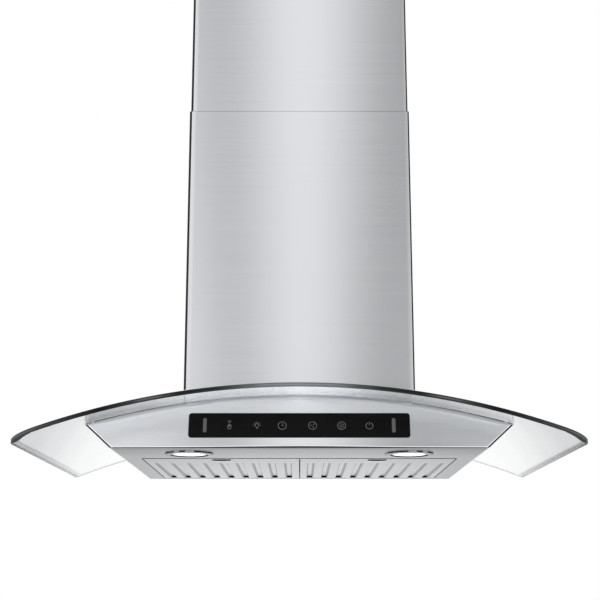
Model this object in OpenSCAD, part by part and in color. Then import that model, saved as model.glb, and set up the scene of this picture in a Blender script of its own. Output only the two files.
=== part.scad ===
// Ceiling-hung range hood with a bent glass canopy, a telescopic square chimney,
// twin hinged grease filters, two lamps, a touch panel and a centrifugal blower.
// X runs along the width, the front faces -Y and Z points up at the ceiling.
// Heights below are measured from the hood's underside, then the whole part is
// lowered by hang_height, which puts the origin on the ceiling.

/* [Hanging] */
// Height from the underside of the hood to the ceiling
hang_height = 925; // [905:5:950]
// How far the hood can be raised on its legs
raise_travel = 150; // [100:10:160]
// How far the hood can be lowered on its legs
lower_travel = 100; // [60:10:110]
// Thickness of the ceiling plate
ceiling_plate_thickness = 3; // [2:0.5:5]
// Depth of the ceiling plate's folded edges
ceiling_skirt = 28; // [24:1:40]
// Radius of the duct's way through the ceiling plate
duct_way_radius = 110; // [100:1:115]
// Spacing of the ceiling bolt holes, centre to centre
ceiling_bolt_spacing = 330; // [320:1:334]
// Radius of the ceiling bolt holes
ceiling_bolt_radius = 4; // [3:0.5:5]

/* [Chimney] */
// Width and depth of the lower chimney
chimney_width = 380; // [376:1:400]
// Length of the lower chimney at its crown
lower_chimney_length = 493.5; // [480:0.5:510]
// How far the upper chimney reaches down into the lower one
chimney_overlap = 150; // [120:5:180]
// How much narrower the upper chimney is on each side
chimney_step = 2; // [2:0.25:3]
// Thickness of the chimney sheet
chimney_sheet = 1; // [0.8:0.1:1.2]
// Outside radius of the chimney's folded corners
chimney_corner = 3; // [2:0.5:6]
// Thickness of the rubber edge under the lower chimney
chimney_seal_thickness = 1.2; // [1:0.1:2]

/* [Legs] */
// Space between the legs and the blower box
leg_room = 2.7; // [2:0.1:3.5]
// Space between the leg feet and the blower box
foot_room = 5.7; // [4:0.1:7]
// Width of each leg's two flanges
leg_flange = 25; // [22:1:27]
// Thickness of the leg steel
leg_sheet = 2; // [1.5:0.25:2.5]
// How far the upper legs run on below their slots
leg_end = 40; // [20:5:60]
// Length of the lower legs
lower_leg_length = 430; // [410:5:450]
// Radius of the clamp bolts that join the legs
leg_bolt_radius = 3; // [2.5:0.25:3.5]
// Distance between the two clamp bolts on a leg
leg_bolt_pitch = 35; // [25:1:45]

/* [Glass] */
// Width of the glass, straight across
glass_width = 900; // [880:5:960]
// Depth of the glass from front to back
glass_depth = 600; // [600:5:640]
// Thickness of the glass
glass_thickness = 6; // [5:0.5:8]
// Radius of the bend at the upper face
glass_bend_radius = 1235; // [1200:5:1400]
// Height of the crown's upper face above the underside
glass_crown_height = 95; // [93:1:102]
// Corner radius at the front
glass_front_corner = 40; // [20:5:70]
// Corner radius at the back
glass_rear_corner = 8; // [4:1:20]
// Space between the legs and the edge of the glass's square opening
opening_room = 3; // [2.5:0.5:6]

/* [Body] */
// Width of the body's underside
body_width = 600; // [580:5:620]
// How far the glass reaches out over the body's front edge
front_overhang = 50; // [40:1:54]
// How far the glass reaches out over the body's rear face
rear_overhang = 2; // [1:0.5:4]
// How far each side wall leans out before it meets the glass
side_flare = 42; // [30:1:50]
// How far the front panel leans back, in degrees
front_lean = 13; // [8:1:15]
// Thickness of the body sheet
sheet = 1; // [0.8:0.1:1.2]
// Width of the folded flanges
flange = 12; // [10:1:15]
// Extra depth of the front panel's top flange, kept clear of the seal for the bend
front_bend = 11; // [8:1:14]
// Thickness of the rubber seal between body and glass
seal_thickness = 2; // [1.5:0.25:3]
// Thickness of the deck that carries the blower
deck_sheet = 2; // [1.5:0.25:3]
// Space between the deck's corners and the flanges above it
deck_gap = 0.5; // [0.3:0.1:1.5]

/* [Filters] */
// Width of the underside left at the outer side of each filter
filter_side_room = 32; // [29:1:44]
// Distance from the body's front edge to the filters
filter_front_room = 169; // [166:1:172]
// Distance from the body's rear face to the filters
filter_rear_room = 10; // [9.5:0.5:14]
// Gap between the two filters
filter_gap = 2; // [2:0.5:4]
// Gap around the filters
filter_edge_gap = 1.5; // [1.5:0.1:2]
// Thickness of the filter cassette
filter_thickness = 10; // [9:0.5:12]
// Thickness of the pressed filter face
face_sheet = 0.8; // [0.6:0.1:1]
// Number of louvres in one filter
louvre_count = 9; // [6:1:9]
// Distance from the filter's side to the middle of its outer louvre
louvre_side_room = 19.1; // [16:0.1:26]
// Width of a louvre
louvre_width = 10; // [7:0.5:12]
// Depth of a louvre at its open end
louvre_rise = 4; // [3:0.5:6]
// Distance from the filter's front edge to the louvres
louvre_setback = 73; // [72:1:78]
// Distance from the louvres to the filter's rear edge
louvre_rear_room = 23; // [20:1:60]
// Width of the finger slot in each filter
finger_slot_width = 33; // [28:1:36]
// Travel of the filter latch
latch_travel = 6; // [5:0.5:7]

/* [Lamps] */
// Distance between the lamp centres
lamp_spacing = 362; // [340:1:380]
// Distance from the body's front edge to the lamp centres
lamp_setback = 95; // [85:1:110]
// Visible radius of the lamp lens
lens_radius = 27; // [24:0.5:29]
// Outer radius of the lamp bezel
bezel_radius = 40; // [38:0.5:45]
// Radius of the lamp hole in the underside
lamp_hole_radius = 34; // [33:0.25:35]
// How far the bezel stands below the underside
bezel_drop = 2.6; // [2.2:0.1:5]

/* [Touch panel] */
// Width of the touch panel
touch_width = 354; // [300:1:400]
// Height of the touch panel
touch_height = 41; // [36:0.5:42]
// Distance up the front panel to the touch panel's lower edge
touch_lift = 17.5; // [15:0.5:19]
// Corner radius of the touch panel
touch_corner = 5; // [3:0.5:8]
// Thickness of the touch panel glass
touch_thickness = 4; // [3:0.25:5]
// How far the touch panel stands proud of the front panel
touch_proud = 0.6; // [0.2:0.1:1]
// Distance between the two sensor windows
window_spacing = 302; // [250:1:305]
// Width of a sensor window
window_width = 7; // [5:0.5:9]
// Height of a sensor window
window_height = 24; // [18:1:26]

/* [Blower] */
// Height of the blower box
blower_height = 292; // [285:1:300]
// Height of the fan's shaft above the deck
fan_axis_height = 120; // [115:1:125]
// Outside radius of the fan wheel
impeller_radius = 68; // [62:0.5:70]
// Width of the fan wheel
impeller_width = 96; // [90:1:98]
// Number of blades on the fan wheel
blade_count = 32; // [24:1:40]
// Radial depth of a blade
blade_depth = 11; // [9:0.5:12]
// Half the width of the scroll's square mouth
mouth_half = 50; // [48:0.5:51]
// Space between the fan wheel and the scroll where the scroll starts
tongue_gap = 8; // [6:0.5:9]
// How much the scroll's radius grows round the wheel
scroll_growth = 20; // [18:0.5:21]
// Space between the scroll and the front of the blower box
scroll_room = 10.5; // [8:0.5:12]
// Width of the scroll between its side plates
scroll_width = 104; // [102:1:108]
// Radius of the motor
motor_radius = 42; // [38:0.5:44]
// Length of the motor
motor_length = 58; // [52:1:60]
// Radius of the motor shaft
shaft_radius = 4; // [3:0.5:5]
// Radius of the run capacitor
capacitor_radius = 17; // [14:0.5:20]
// Length of the run capacitor
capacitor_length = 60; // [50:1:70]

/* [Duct collar] */
// Outside radius of the duct collar
collar_radius = 74.5; // [73:0.5:76]
// Length of the collar's round wall
collar_length = 55; // [50:1:60]
// Wall of the collar and thickness of its flange
collar_sheet = 1; // [0.8:0.1:1.2]
// Height of the damper rod above the collar flange
damper_height = 20; // [15:1:30]
// Radius of the damper rod
damper_rod_radius = 2; // [1.5:0.25:3]

/* [Electrics] */
// Width of the control box
control_width = 150; // [130:1:160]
// Depth of the control box
control_depth = 85; // [75:1:90]
// Height of the control box
control_height = 34; // [30:1:38]
// Wall of the plastic boxes
box_wall = 2; // [1.5:0.25:2.5]
// Radius of the cable's way through the gland
gland_bore = 4.2; // [3.5:0.1:4.5]
// Radius of the internal leads
lead_radius = 1.6; // [1.2:0.1:2]

/* [Hidden] */
$fn = 48;
arc_fn = 720;
fit = 0.3;
close_fit = 0.1;
running_fit = 0.05;
cut = 1;
far = 1200;

// Glass and body arcs share one axis along Y, this far below the underside
arc_axis_drop = glass_bend_radius - glass_crown_height;
glass_under_radius = glass_bend_radius - glass_thickness;
body_arc_radius = glass_under_radius - seal_thickness;

// Height of an arc of radius r at a distance x from the centre line
function arc_z(r, x) = sqrt(r * r - x * x) - arc_axis_drop;

// Body walls
body_front = glass_depth / 2 - front_overhang;
body_back = glass_depth / 2 - rear_overhang;
body_half = body_width / 2;
flare_half = body_half + side_flare;
side_slope = side_flare / arc_z(body_arc_radius, flare_half);
side_shift = sheet * sqrt(1 + side_slope * side_slope);
outline_height = 130;
front_top_y = -body_front + arc_z(body_arc_radius, 0) * tan(front_lean);
rear_inside_y = body_back - sheet;
floor_top = sheet;

// Distance from the centre line to the front panel's inner face at height z
function front_inner_y(z) = -body_front + sheet / cos(front_lean) + z * tan(front_lean);

// Chimney
chimney_half = chimney_width / 2;
upper_chimney_half = chimney_half - chimney_step;
upper_inside_half = upper_chimney_half - chimney_sheet;
lower_chimney_top = glass_crown_height + lower_chimney_length;
upper_chimney_bottom = lower_chimney_top - chimney_overlap;
chimney_screw_inset = 14;
chimney_screw_y = 120;
chimney_screw_radius = 2;

// Blower: its scroll sets the box, and the box sets the legs and the glass's opening
leg_foot = 20;
scroll_start = impeller_radius + tongue_gap;
scroll_end = scroll_start + scroll_growth;
fan_y = mouth_half - scroll_end;
scroll_turn = scroll_first(0);
scroll_reach = scroll_radius(180, scroll_turn) + sheet - fan_y;
blower_half_depth = scroll_reach + scroll_room;
lower_leg_corner = blower_half_depth + leg_room + leg_sheet;
upper_leg_corner = lower_leg_corner + leg_sheet + fit;
blower_half = lower_leg_corner - leg_sheet - leg_foot - foot_room;
glass_opening = 2 * (upper_leg_corner + opening_room);

// Deck and what stands on it
deck_half = glass_opening / 2 + 30;
deck_top = arc_z(body_arc_radius - sheet, deck_half) - deck_gap;
deck_bottom = deck_top - deck_sheet;
deck_fold = 15;
blower_top = deck_top + blower_height;
deck_hole_half = blower_half - sheet - flange;
deck_hole_half_depth = blower_half_depth - sheet - flange;
bush_x = 60;
bush_y = (glass_opening / 2 + chimney_half - chimney_sheet) / 2;
bush_radius = 10;
glass_screw_radius = 3;

// Legs: the lower legs nest inside the upper ones
lower_leg_top = deck_top + lower_leg_length;
upper_leg_top = hang_height - ceiling_plate_thickness;
leg_bolt_z = lower_leg_top - 23;
leg_slot_low = leg_bolt_z - leg_bolt_pitch - lower_travel - 1;
leg_slot_high = leg_bolt_z + raise_travel + 1;
upper_leg_bottom = leg_slot_low - leg_end;
leg_bolt_y = lower_leg_corner - 14;
foot_screw_radius = 2.5;
bolt_head_radius = 5.5;
bolt_head_height = 4;
screw_head_radius = 4.5;
screw_head_height = 3;

// Fan
fan_z = deck_top + fan_axis_height;
inlet_radius = impeller_radius - blade_depth - 1;
mouth_flange_half = 80;
motor_front_x = 8;
motor_back_x = motor_front_x + motor_length;
bracket_x = scroll_width / 2 + sheet + 5;
bracket_sheet = 2;

// Collar and damper
collar_base = blower_top + collar_sheet;
collar_top = collar_base + collar_length;
collar_inside = collar_radius - collar_sheet;
damper_z = collar_base + damper_height;
knuckle_radius = damper_rod_radius + 1.5;
knuckle = 24;
flap_sheet = 1;
capacitor_lift = 40;

// Filters
filter_inner_x = filter_gap / 2;
filter_outer_x = body_half - filter_side_room;
filter_width = filter_outer_x - filter_inner_x;
filter_front = body_front - filter_front_room;
filter_back = body_back - filter_rear_room;
louvre_pitch = (filter_width - 2 * louvre_side_room) / (louvre_count - 1);
louvre_length = filter_front + filter_back - louvre_setback - louvre_rear_room;
filter_mid_x = filter_inner_x + filter_width / 2;
filter_frame_sheet = 1.2;
louvre_start_y = -filter_front + louvre_setback;
louvre_end_y = louvre_start_y + louvre_length;
filter_top_flange = 8;
opening_half = filter_outer_x + filter_edge_gap;
opening_front_y = -filter_front - filter_edge_gap;
opening_back_y = filter_back + filter_edge_gap;
tab_width = 30;
tab_spread = 0.3 * filter_width;
tab_reach = 6;
tab_sheet = 1.2;

// Latch
latch_sheet = 1.5;
latch_z = floor_top + close_fit;
latch_width = 40;
latch_front_y = -filter_front + 2;
latch_reach = 57;
latch_rear_y = -filter_front + latch_reach;
tongue_width = 24;
tongue_reach = 5;
finger_slot_front_y = -filter_front + 15;
finger_tab_y = finger_slot_front_y + 9;
finger_tab_depth = 2.6;
finger_slot_rear_y = finger_tab_y + finger_tab_depth + latch_travel + 0.5;
spring_seat_y = latch_rear_y + 14;
spring_z = latch_z + latch_sheet + 2;
spring_radius = 2;
spring_wire = 0.4;
spring_turns = 5;
spring_steps = 12;

// Lamps
lamp_x = lamp_spacing / 2;
lamp_y = -body_front + lamp_setback;
lamp_neck_radius = lamp_hole_radius - 1;
lamp_neck_wall = 1.5;
lamp_neck_height = 18;
bezel_sheet = 1.4;
lens_sheet = 1.4;

// Electrics
control_front_y = -body_front + 32;
control_rear_y = control_front_y + control_depth;
terminal_x = blower_half - 21;
terminal_y = blower_half_depth - 30;
terminal_size = [40, 52, 35];
board_sheet = 1.6;

// Lead routes, from the control box to the touch board, each lamp, the motor and the terminal box
touch_back = touch_thickness - touch_proud;
touch_middle = touch_lift + touch_height / 2;
plug_depth = touch_back + board_sheet + 4;
plug_y = -body_front + plug_depth * cos(front_lean) + touch_middle * sin(front_lean);
plug_z = touch_middle * cos(front_lean) - plug_depth * sin(front_lean);
panel_in = [0, cos(front_lean), -sin(front_lean)];
plug_end = [0, plug_y, plug_z];
touch_lead_path = [
    plug_end + 0.3 * panel_in, plug_end + 4 * panel_in,
    [0, control_front_y - 4.5, plug_z - 2.8], [0, control_front_y - 0.3, plug_z - 2.9]
];
lamp_lead_path = [
    [control_width / 2 + 0.3, lamp_y - 10, 20], [control_width / 2 + 6, lamp_y - 10, 20],
    [control_width / 2 + 13, lamp_y - 9.6, 19.5], [control_width / 2 + 24, lamp_y - 9, 18],
    [lamp_x - lamp_neck_radius - 26, lamp_y - 3, 14],
    [lamp_x - lamp_neck_radius - 6, lamp_y, 12], [lamp_x - lamp_neck_radius - 0.3, lamp_y, 12]
];
lead_x = blower_half - 20;
lead_y = -blower_half_depth + 30;
motor_lead_path = [
    [20, control_rear_y + 0.3, 24], [20, control_rear_y + 6, 24], [24, control_rear_y + 13, 30],
    [40, lead_y - 2, deck_bottom - 18],
    [lead_x - 16, lead_y + 5, deck_bottom + 2], [lead_x - 5, lead_y + 10, deck_top + 24],
    [lead_x - 5, lead_y + 30, fan_z - 42], [lead_x - 9, fan_y + 6, fan_z - 8],
    [motor_back_x + 8, fan_y + motor_radius / 2, fan_z],
    [motor_back_x + 0.2, fan_y + motor_radius / 2, fan_z]
];
supply_lead_path = [
    [-20, control_rear_y + 0.3, 24], [-20, control_rear_y + 6, 24], [-19, control_rear_y + 13, 30],
    [-10, lead_y - 2, deck_bottom - 20],
    [blower_half / 2, lead_y + 4, deck_bottom - 6],
    [lead_x - 1, lead_y + blower_half_depth / 3, deck_top + 12],
    [lead_x + 1, 40, deck_top + 20], [terminal_x, terminal_y, deck_top + blower_height / 5],
    [terminal_x, terminal_y, deck_top + 0.6 * blower_height],
    [terminal_x, terminal_y, blower_top + 12]
];

// --- Helpers ---------------------------------------------------------------

module from_ceiling() {
    translate([0, 0, -hang_height]) children();
}

// Extrudes an X-Z drawing along Y
module along_y(y0, y1) {
    translate([0, y1, 0]) rotate([90, 0, 0]) linear_extrude(y1 - y0) children();
}

// Extrudes a Y-Z drawing along X
module along_x(x0, x1) {
    translate([x0, 0, 0]) rotate([90, 0, 90]) linear_extrude(x1 - x0) children();
}

// A round bar or hole along X
module bar_x(x0, x1, r) {
    translate([x0, 0, 0]) rotate([0, 90, 0]) cylinder(h = x1 - x0, r = r);
}

module on_side(side) {
    mirror([side < 0 ? 1 : 0, 0, 0]) children();
}

module four_corners() {
    for (left = [0, 1], front = [0, 1])
        mirror([left, 0, 0]) mirror([0, front, 0]) children();
}

module rounded_plan(w, d, r) {
    square([w - 2 * r, d], center = true);
    square([w, d - 2 * r], center = true);
    for (sx = [-1, 1], sy = [-1, 1])
        translate([sx * (w / 2 - r), sy * (d / 2 - r)]) circle(r);
}

module square_tube(w, wall, corner, z0, z1) {
    translate([0, 0, z0]) linear_extrude(z1 - z0) difference() {
        rounded_plan(w, w, corner);
        rounded_plan(w - 2 * wall, w - 2 * wall, corner - wall + 0.01);
    }
}

module arc_disc(r) {
    translate([0, -arc_axis_drop]) circle(r, $fn = arc_fn);
}

module arc_band(r0, r1) {
    difference() {
        arc_disc(r1);
        arc_disc(r0);
    }
}

// The body's front view: leaning sides under the glass arc
module body_outline(inset) {
    half = body_half - inset * side_shift / sheet;
    intersection() {
        arc_disc(body_arc_radius);
        polygon([
            [-half, 0], [half, 0],
            [half + side_slope * outline_height, outline_height],
            [-half - side_slope * outline_height, outline_height]
        ]);
    }
}

// Places things on the leaning front panel: y runs inwards from its outer face
module on_front() {
    translate([0, -body_front, 0]) rotate([-front_lean, 0, 0]) children();
}

// Everything behind the front panel's inner face
module behind_front(gap) {
    on_front() translate([-far / 2, sheet + gap, -far / 2]) cube([far, far, far]);
}

// A tube swept along points; ref is a direction that the path never follows
module tube(points, radius, sides, ref) {
    count = len(points);
    function unit(v) = v / norm(v);
    function heading(i) = unit(points[min(i + 1, count - 1)] - points[max(i - 1, 0)]);
    function across(i) = unit(cross(heading(i), ref));
    function upright(i) = cross(heading(i), across(i));
    rings = [
        for (i = [0:count - 1], k = [0:sides - 1])
            points[i] + radius * (cos(360 * k / sides) * across(i) + sin(360 * k / sides) * upright(i))
    ];
    walls = [
        for (i = [0:count - 2], k = [0:sides - 1])
            let (a = i * sides + k, b = i * sides + (k + 1) % sides)
                each [[a, a + sides, b + sides], [a, b + sides, b]]
    ];
    first = [[for (k = [0:sides - 1]) k]];
    last = [[for (k = [sides - 1:-1:0]) (count - 1) * sides + k]];
    polyhedron(points = rings, faces = concat(walls, first, last), convexity = 6);
}

// Points of a smooth curve through a list of chosen points
function smooth(p, n) = concat(
    [
        for (i = [0:len(p) - 2], j = [0:n - 1])
            let (
                a = p[max(i - 1, 0)], b = p[i], c = p[i + 1], d = p[min(i + 2, len(p) - 1)],
                t = j / n
            )
                0.5 * (2 * b + (c - a) * t + (2 * a - 5 * b + 4 * c - d) * t * t
                    + (3 * b - a - 3 * c + d) * t * t * t)
    ],
    [p[len(p) - 1]]
);

// --- Ceiling frame -----------------------------------------------------------

module ceiling_plate() {
    half = upper_inside_half - fit;
    skirt_wall = 2;
    corner = chimney_corner - chimney_sheet;
    color("gainsboro") from_ceiling() difference() {
        translate([0, 0, hang_height - ceiling_skirt]) linear_extrude(ceiling_skirt)
            rounded_plan(2 * half, 2 * half, corner);
        translate([-half + skirt_wall, -half + skirt_wall, hang_height - ceiling_skirt - cut])
            cube([
                2 * (half - skirt_wall), 2 * (half - skirt_wall),
                ceiling_skirt - ceiling_plate_thickness + cut
            ]);
        translate([0, 0, hang_height - ceiling_skirt]) cylinder(h = far, r = duct_way_radius);
        four_corners() {
            translate([ceiling_bolt_spacing / 2, ceiling_bolt_spacing / 2, hang_height / 2])
                cylinder(h = far, r = ceiling_bolt_radius);
            translate([upper_foot_centre(), upper_foot_centre(), hang_height / 2])
                cylinder(h = far, r = foot_screw_radius + close_fit);
            translate([0, chimney_screw_y, hang_height - chimney_screw_inset])
                bar_x(half - 2 * skirt_wall, half + cut, chimney_screw_radius + close_fit);
        }
    }
}

function upper_foot_centre() = upper_leg_corner - leg_sheet - leg_foot / 2;
function lower_foot_centre() = lower_leg_corner - leg_sheet - leg_foot / 2;

module leg_section(corner) {
    inside = corner - leg_sheet;
    tip = corner - leg_flange;
    polygon([
        [tip, corner], [corner, corner], [corner, tip],
        [inside, tip], [inside, inside], [tip, inside]
    ]);
}

module foot_plate(corner) {
    inside = corner - leg_sheet;
    difference() {
        translate([inside - leg_foot, inside - leg_foot, 0])
            cube([leg_foot + leg_sheet / 2, leg_foot + leg_sheet / 2, leg_sheet]);
        translate([inside - leg_foot / 2, inside - leg_foot / 2, -cut])
            cylinder(h = leg_sheet + 2 * cut, r = foot_screw_radius + close_fit);
    }
}

module upper_legs() {
    slot_radius = leg_bolt_radius + 0.5;
    color("silver") from_ceiling() four_corners() {
        difference() {
            translate([0, 0, upper_leg_bottom]) linear_extrude(upper_leg_top - upper_leg_bottom)
                leg_section(upper_leg_corner);
            translate([0, leg_bolt_y, 0]) {
                for (z = [leg_slot_low, leg_slot_high]) translate([0, 0, z])
                    bar_x(lower_leg_corner, upper_leg_corner + cut, slot_radius);
                translate([lower_leg_corner, -slot_radius, leg_slot_low])
                    cube([leg_sheet + 2 * cut, 2 * slot_radius, leg_slot_high - leg_slot_low]);
            }
        }
        translate([0, 0, upper_leg_top - leg_sheet]) foot_plate(upper_leg_corner);
    }
}

module upper_leg_screws() {
    head_top = upper_leg_top - leg_sheet;
    color("dimgray") from_ceiling() four_corners()
        translate([upper_foot_centre(), upper_foot_centre(), head_top - screw_head_height]) {
            cylinder(h = screw_head_height, r = screw_head_radius);
            cylinder(
                h = screw_head_height + leg_sheet + ceiling_plate_thickness - close_fit,
                r = foot_screw_radius
            );
        }
}

module upper_chimney() {
    color("lightgray") from_ceiling() difference() {
        square_tube(
            2 * upper_chimney_half, chimney_sheet, chimney_corner,
            upper_chimney_bottom, hang_height
        );
        four_corners() translate([0, chimney_screw_y, hang_height - chimney_screw_inset])
            bar_x(upper_inside_half - cut, upper_chimney_half + cut, chimney_screw_radius + close_fit);
    }
}

module upper_chimney_screws() {
    color("silver") from_ceiling() four_corners()
        translate([0, chimney_screw_y, hang_height - chimney_screw_inset]) {
            bar_x(upper_inside_half - 6, upper_chimney_half, chimney_screw_radius);
            bar_x(upper_chimney_half, upper_chimney_half + 2, 2 * chimney_screw_radius);
        }
}

// --- Hood frame and shell ------------------------------------------------------

module lower_legs() {
    color("silver") from_ceiling() four_corners() {
        difference() {
            translate([0, 0, deck_top]) linear_extrude(lower_leg_length)
                leg_section(lower_leg_corner);
            for (z = [leg_bolt_z, leg_bolt_z - leg_bolt_pitch])
                translate([0, leg_bolt_y, z])
                    bar_x(lower_leg_corner - 2 * leg_sheet, lower_leg_corner + cut,
                        leg_bolt_radius + close_fit);
        }
        translate([0, 0, deck_top]) foot_plate(lower_leg_corner);
    }
}

module leg_clamp_bolts() {
    head_x = upper_leg_corner + close_fit;
    nut_x = lower_leg_corner - leg_sheet;
    color("dimgray") from_ceiling() four_corners()
        for (z = [leg_bolt_z, leg_bolt_z - leg_bolt_pitch]) translate([0, leg_bolt_y, z]) {
            bar_x(nut_x - 7, head_x + 1, leg_bolt_radius);
            translate([head_x, 0, 0]) rotate([0, 90, 0])
                cylinder(h = bolt_head_height, r = bolt_head_radius, $fn = 6);
            translate([nut_x - 5, 0, 0]) rotate([0, 90, 0])
                cylinder(h = 5, r = bolt_head_radius, $fn = 6);
        }
}

module deck_screws() {
    foot_top = deck_top + leg_sheet;
    nut = 4;
    color("dimgray") from_ceiling() {
        four_corners() translate([lower_foot_centre(), lower_foot_centre(), 0]) {
            translate([0, 0, foot_top]) cylinder(h = screw_head_height, r = screw_head_radius);
            translate([0, 0, deck_bottom - nut - 1])
                cylinder(h = foot_top + 1 - deck_bottom + nut + 1, r = foot_screw_radius);
            translate([0, 0, deck_bottom - nut]) cylinder(h = nut, r = screw_head_radius, $fn = 6);
        }
        for (sx = [-1, 1], k = [-1, 0, 1])
            translate([sx * blower_screw_x(), k * blower_screw_pitch(), 0]) {
                translate([0, 0, deck_bottom - screw_head_height])
                    cylinder(h = screw_head_height, r = screw_head_radius);
                translate([0, 0, deck_bottom - 1])
                    cylinder(h = deck_sheet + sheet + 1 + 6, r = foot_screw_radius);
                translate([0, 0, deck_top + sheet])
                    cylinder(h = nut, r = screw_head_radius, $fn = 6);
            }
    }
}

function blower_screw_x() = blower_half - sheet - flange / 2;
function blower_screw_pitch() = blower_half_depth - 40;

module glass_plan() {
    w = glass_width / 2;
    d = glass_depth / 2;
    rf = glass_front_corner;
    rr = glass_rear_corner;
    translate([-w + rf, -d]) square([2 * (w - rf), d + 1]);
    translate([-w, -d + rf]) square([2 * w, 2 * d - rf - rr]);
    translate([-w + rr, 0]) square([2 * (w - rr), d]);
    for (sx = [-1, 1]) {
        translate([sx * (w - rf), -d + rf]) circle(rf);
        translate([sx * (w - rr), d - rr]) circle(rr);
    }
}

module glass_canopy() {
    color([0.72, 0.8, 0.8, 0.45]) from_ceiling() difference() {
        intersection() {
            along_y(-glass_depth / 2 - cut, glass_depth / 2 + cut)
                arc_band(glass_under_radius, glass_bend_radius);
            translate([0, 0, -far / 2]) linear_extrude(far) glass_plan();
        }
        translate([0, 0, -cut]) linear_extrude(far) rounded_plan(glass_opening, glass_opening, 10);
        for (sx = [-1, 1], sy = [-1, 1]) translate([sx * bush_x, sy * bush_y, 0])
            cylinder(h = far, r = glass_screw_radius + 2);
    }
}

// Rubber strips between the body's flanges and the glass
module glass_seal() {
    side_inner = flare_half - flange;
    strip = flange - 2;
    color([0.3, 0.32, 0.33]) from_ceiling() intersection() {
        union() {
            along_y(front_top_y + front_bend, front_top_y + front_bend + strip)
                seal_band(2 * side_inner - 2);
            along_y(rear_inside_y - strip, rear_inside_y) seal_band(2 * side_inner - 2);
            for (sx = [-1, 1])
                along_y(front_top_y + front_bend, rear_inside_y) intersection() {
                    arc_band(body_arc_radius + close_fit, glass_under_radius - close_fit);
                    translate([sx * (flare_half - strip / 2 - 1) - strip / 2, 0])
                        square([strip, outline_height]);
                }
        }
        behind_front(0);
    }
}

module seal_band(width) {
    intersection() {
        arc_band(body_arc_radius + close_fit, glass_under_radius - close_fit);
        translate([-width / 2, 0]) square([width, outline_height]);
    }
}

// Rubber posts under the glass and rubber washers on top of it
module glass_bushes() {
    color([0.16, 0.16, 0.16]) from_ceiling() difference() {
        for (sx = [-1, 1], sy = [-1, 1]) translate([sx * bush_x, sy * bush_y, deck_top])
            cylinder(h = glass_washer_top() - deck_top, r = bush_radius);
        along_y(-glass_depth / 2, glass_depth / 2)
            arc_band(glass_under_radius - close_fit, glass_bend_radius + close_fit);
        for (sx = [-1, 1], sy = [-1, 1]) translate([sx * bush_x, sy * bush_y, 0])
            cylinder(h = far, r = glass_screw_radius + close_fit);
    }
}

function glass_washer_top() = glass_crown_height + 3;

module glass_screws() {
    nut = 5;
    color("silver") from_ceiling() for (sx = [-1, 1], sy = [-1, 1])
        translate([sx * bush_x, sy * bush_y, 0]) {
            translate([0, 0, glass_washer_top()]) cylinder(h = 4, r = 2 * glass_screw_radius);
            translate([0, 0, deck_bottom - nut - 1])
                cylinder(h = glass_washer_top() + 1 - deck_bottom + nut + 1, r = glass_screw_radius);
            translate([0, 0, deck_bottom - nut]) cylinder(h = nut, r = 5.5, $fn = 6);
        }
}

module deck_plate() {
    seat = running_fit;
    low = deck_top - deck_fold;
    lean_sheet = deck_sheet / cos(front_lean);
    color("silver") from_ceiling() difference() {
        along_x(-deck_half, deck_half) polygon([
            [front_inner_y(deck_top) + seat, deck_top], [rear_inside_y, deck_top],
            [rear_inside_y, low], [rear_inside_y - deck_sheet, low],
            [rear_inside_y - deck_sheet, deck_bottom],
            [front_inner_y(deck_bottom) + seat + lean_sheet, deck_bottom],
            [front_inner_y(low) + seat + lean_sheet, low],
            [front_inner_y(low) + seat, low]
        ]);
        translate([-deck_hole_half, -deck_hole_half_depth, deck_bottom - cut])
            cube([2 * deck_hole_half, 2 * deck_hole_half_depth, deck_sheet + 2 * cut]);
        for (sx = [-1, 1], sy = [-1, 1]) translate([sx * bush_x, sy * bush_y, 0])
            cylinder(h = far, r = glass_screw_radius + close_fit);
        four_corners() translate([lower_foot_centre(), lower_foot_centre(), 0])
            cylinder(h = far, r = foot_screw_radius + close_fit);
        for (sx = [-1, 1], k = [-1, 0, 1])
            translate([sx * blower_screw_x(), k * blower_screw_pitch(), 0])
                cylinder(h = far, r = foot_screw_radius + close_fit);
    }
}

module front_panel() {
    top_flange_half = flare_half - flange - 1;
    bottom_flange_half = body_half - flange - 1;
    color("lightgray") from_ceiling() difference() {
        union() {
            intersection() {
                along_y(-body_front - cut, 0) body_outline(0);
                on_front() translate([-far / 2, 0, -cut]) cube([far, sheet, 2 * outline_height]);
            }
            intersection() {
                along_y(-body_front, front_top_y + front_bend + flange) intersection() {
                    arc_band(body_arc_radius - sheet, body_arc_radius);
                    translate([-top_flange_half, 0]) square([2 * top_flange_half, outline_height]);
                }
                on_front() translate([-far / 2, 0, 0]) cube([far, far, far]);
            }
            intersection() {
                translate([-bottom_flange_half, -body_front, floor_top])
                    cube([2 * bottom_flange_half, flange, sheet]);
                on_front() translate([-far / 2, 0, 0]) cube([far, far, far]);
            }
        }
        on_front() translate([0, 0, touch_lift + touch_height / 2]) rotate([90, 0, 0])
            linear_extrude(4 * touch_thickness, center = true)
                rounded_plan(touch_width + 2 * fit, touch_height + 2 * fit, touch_corner);
    }
}

module rear_panel() {
    top_flange_half = flare_half - flange - 1;
    color("lightgray") from_ceiling() {
        along_y(rear_inside_y, body_back) body_outline(0);
        along_y(rear_inside_y - flange, rear_inside_y) intersection() {
            arc_band(body_arc_radius - sheet, body_arc_radius);
            translate([-top_flange_half, 0]) square([2 * top_flange_half, outline_height]);
        }
    }
}

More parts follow.
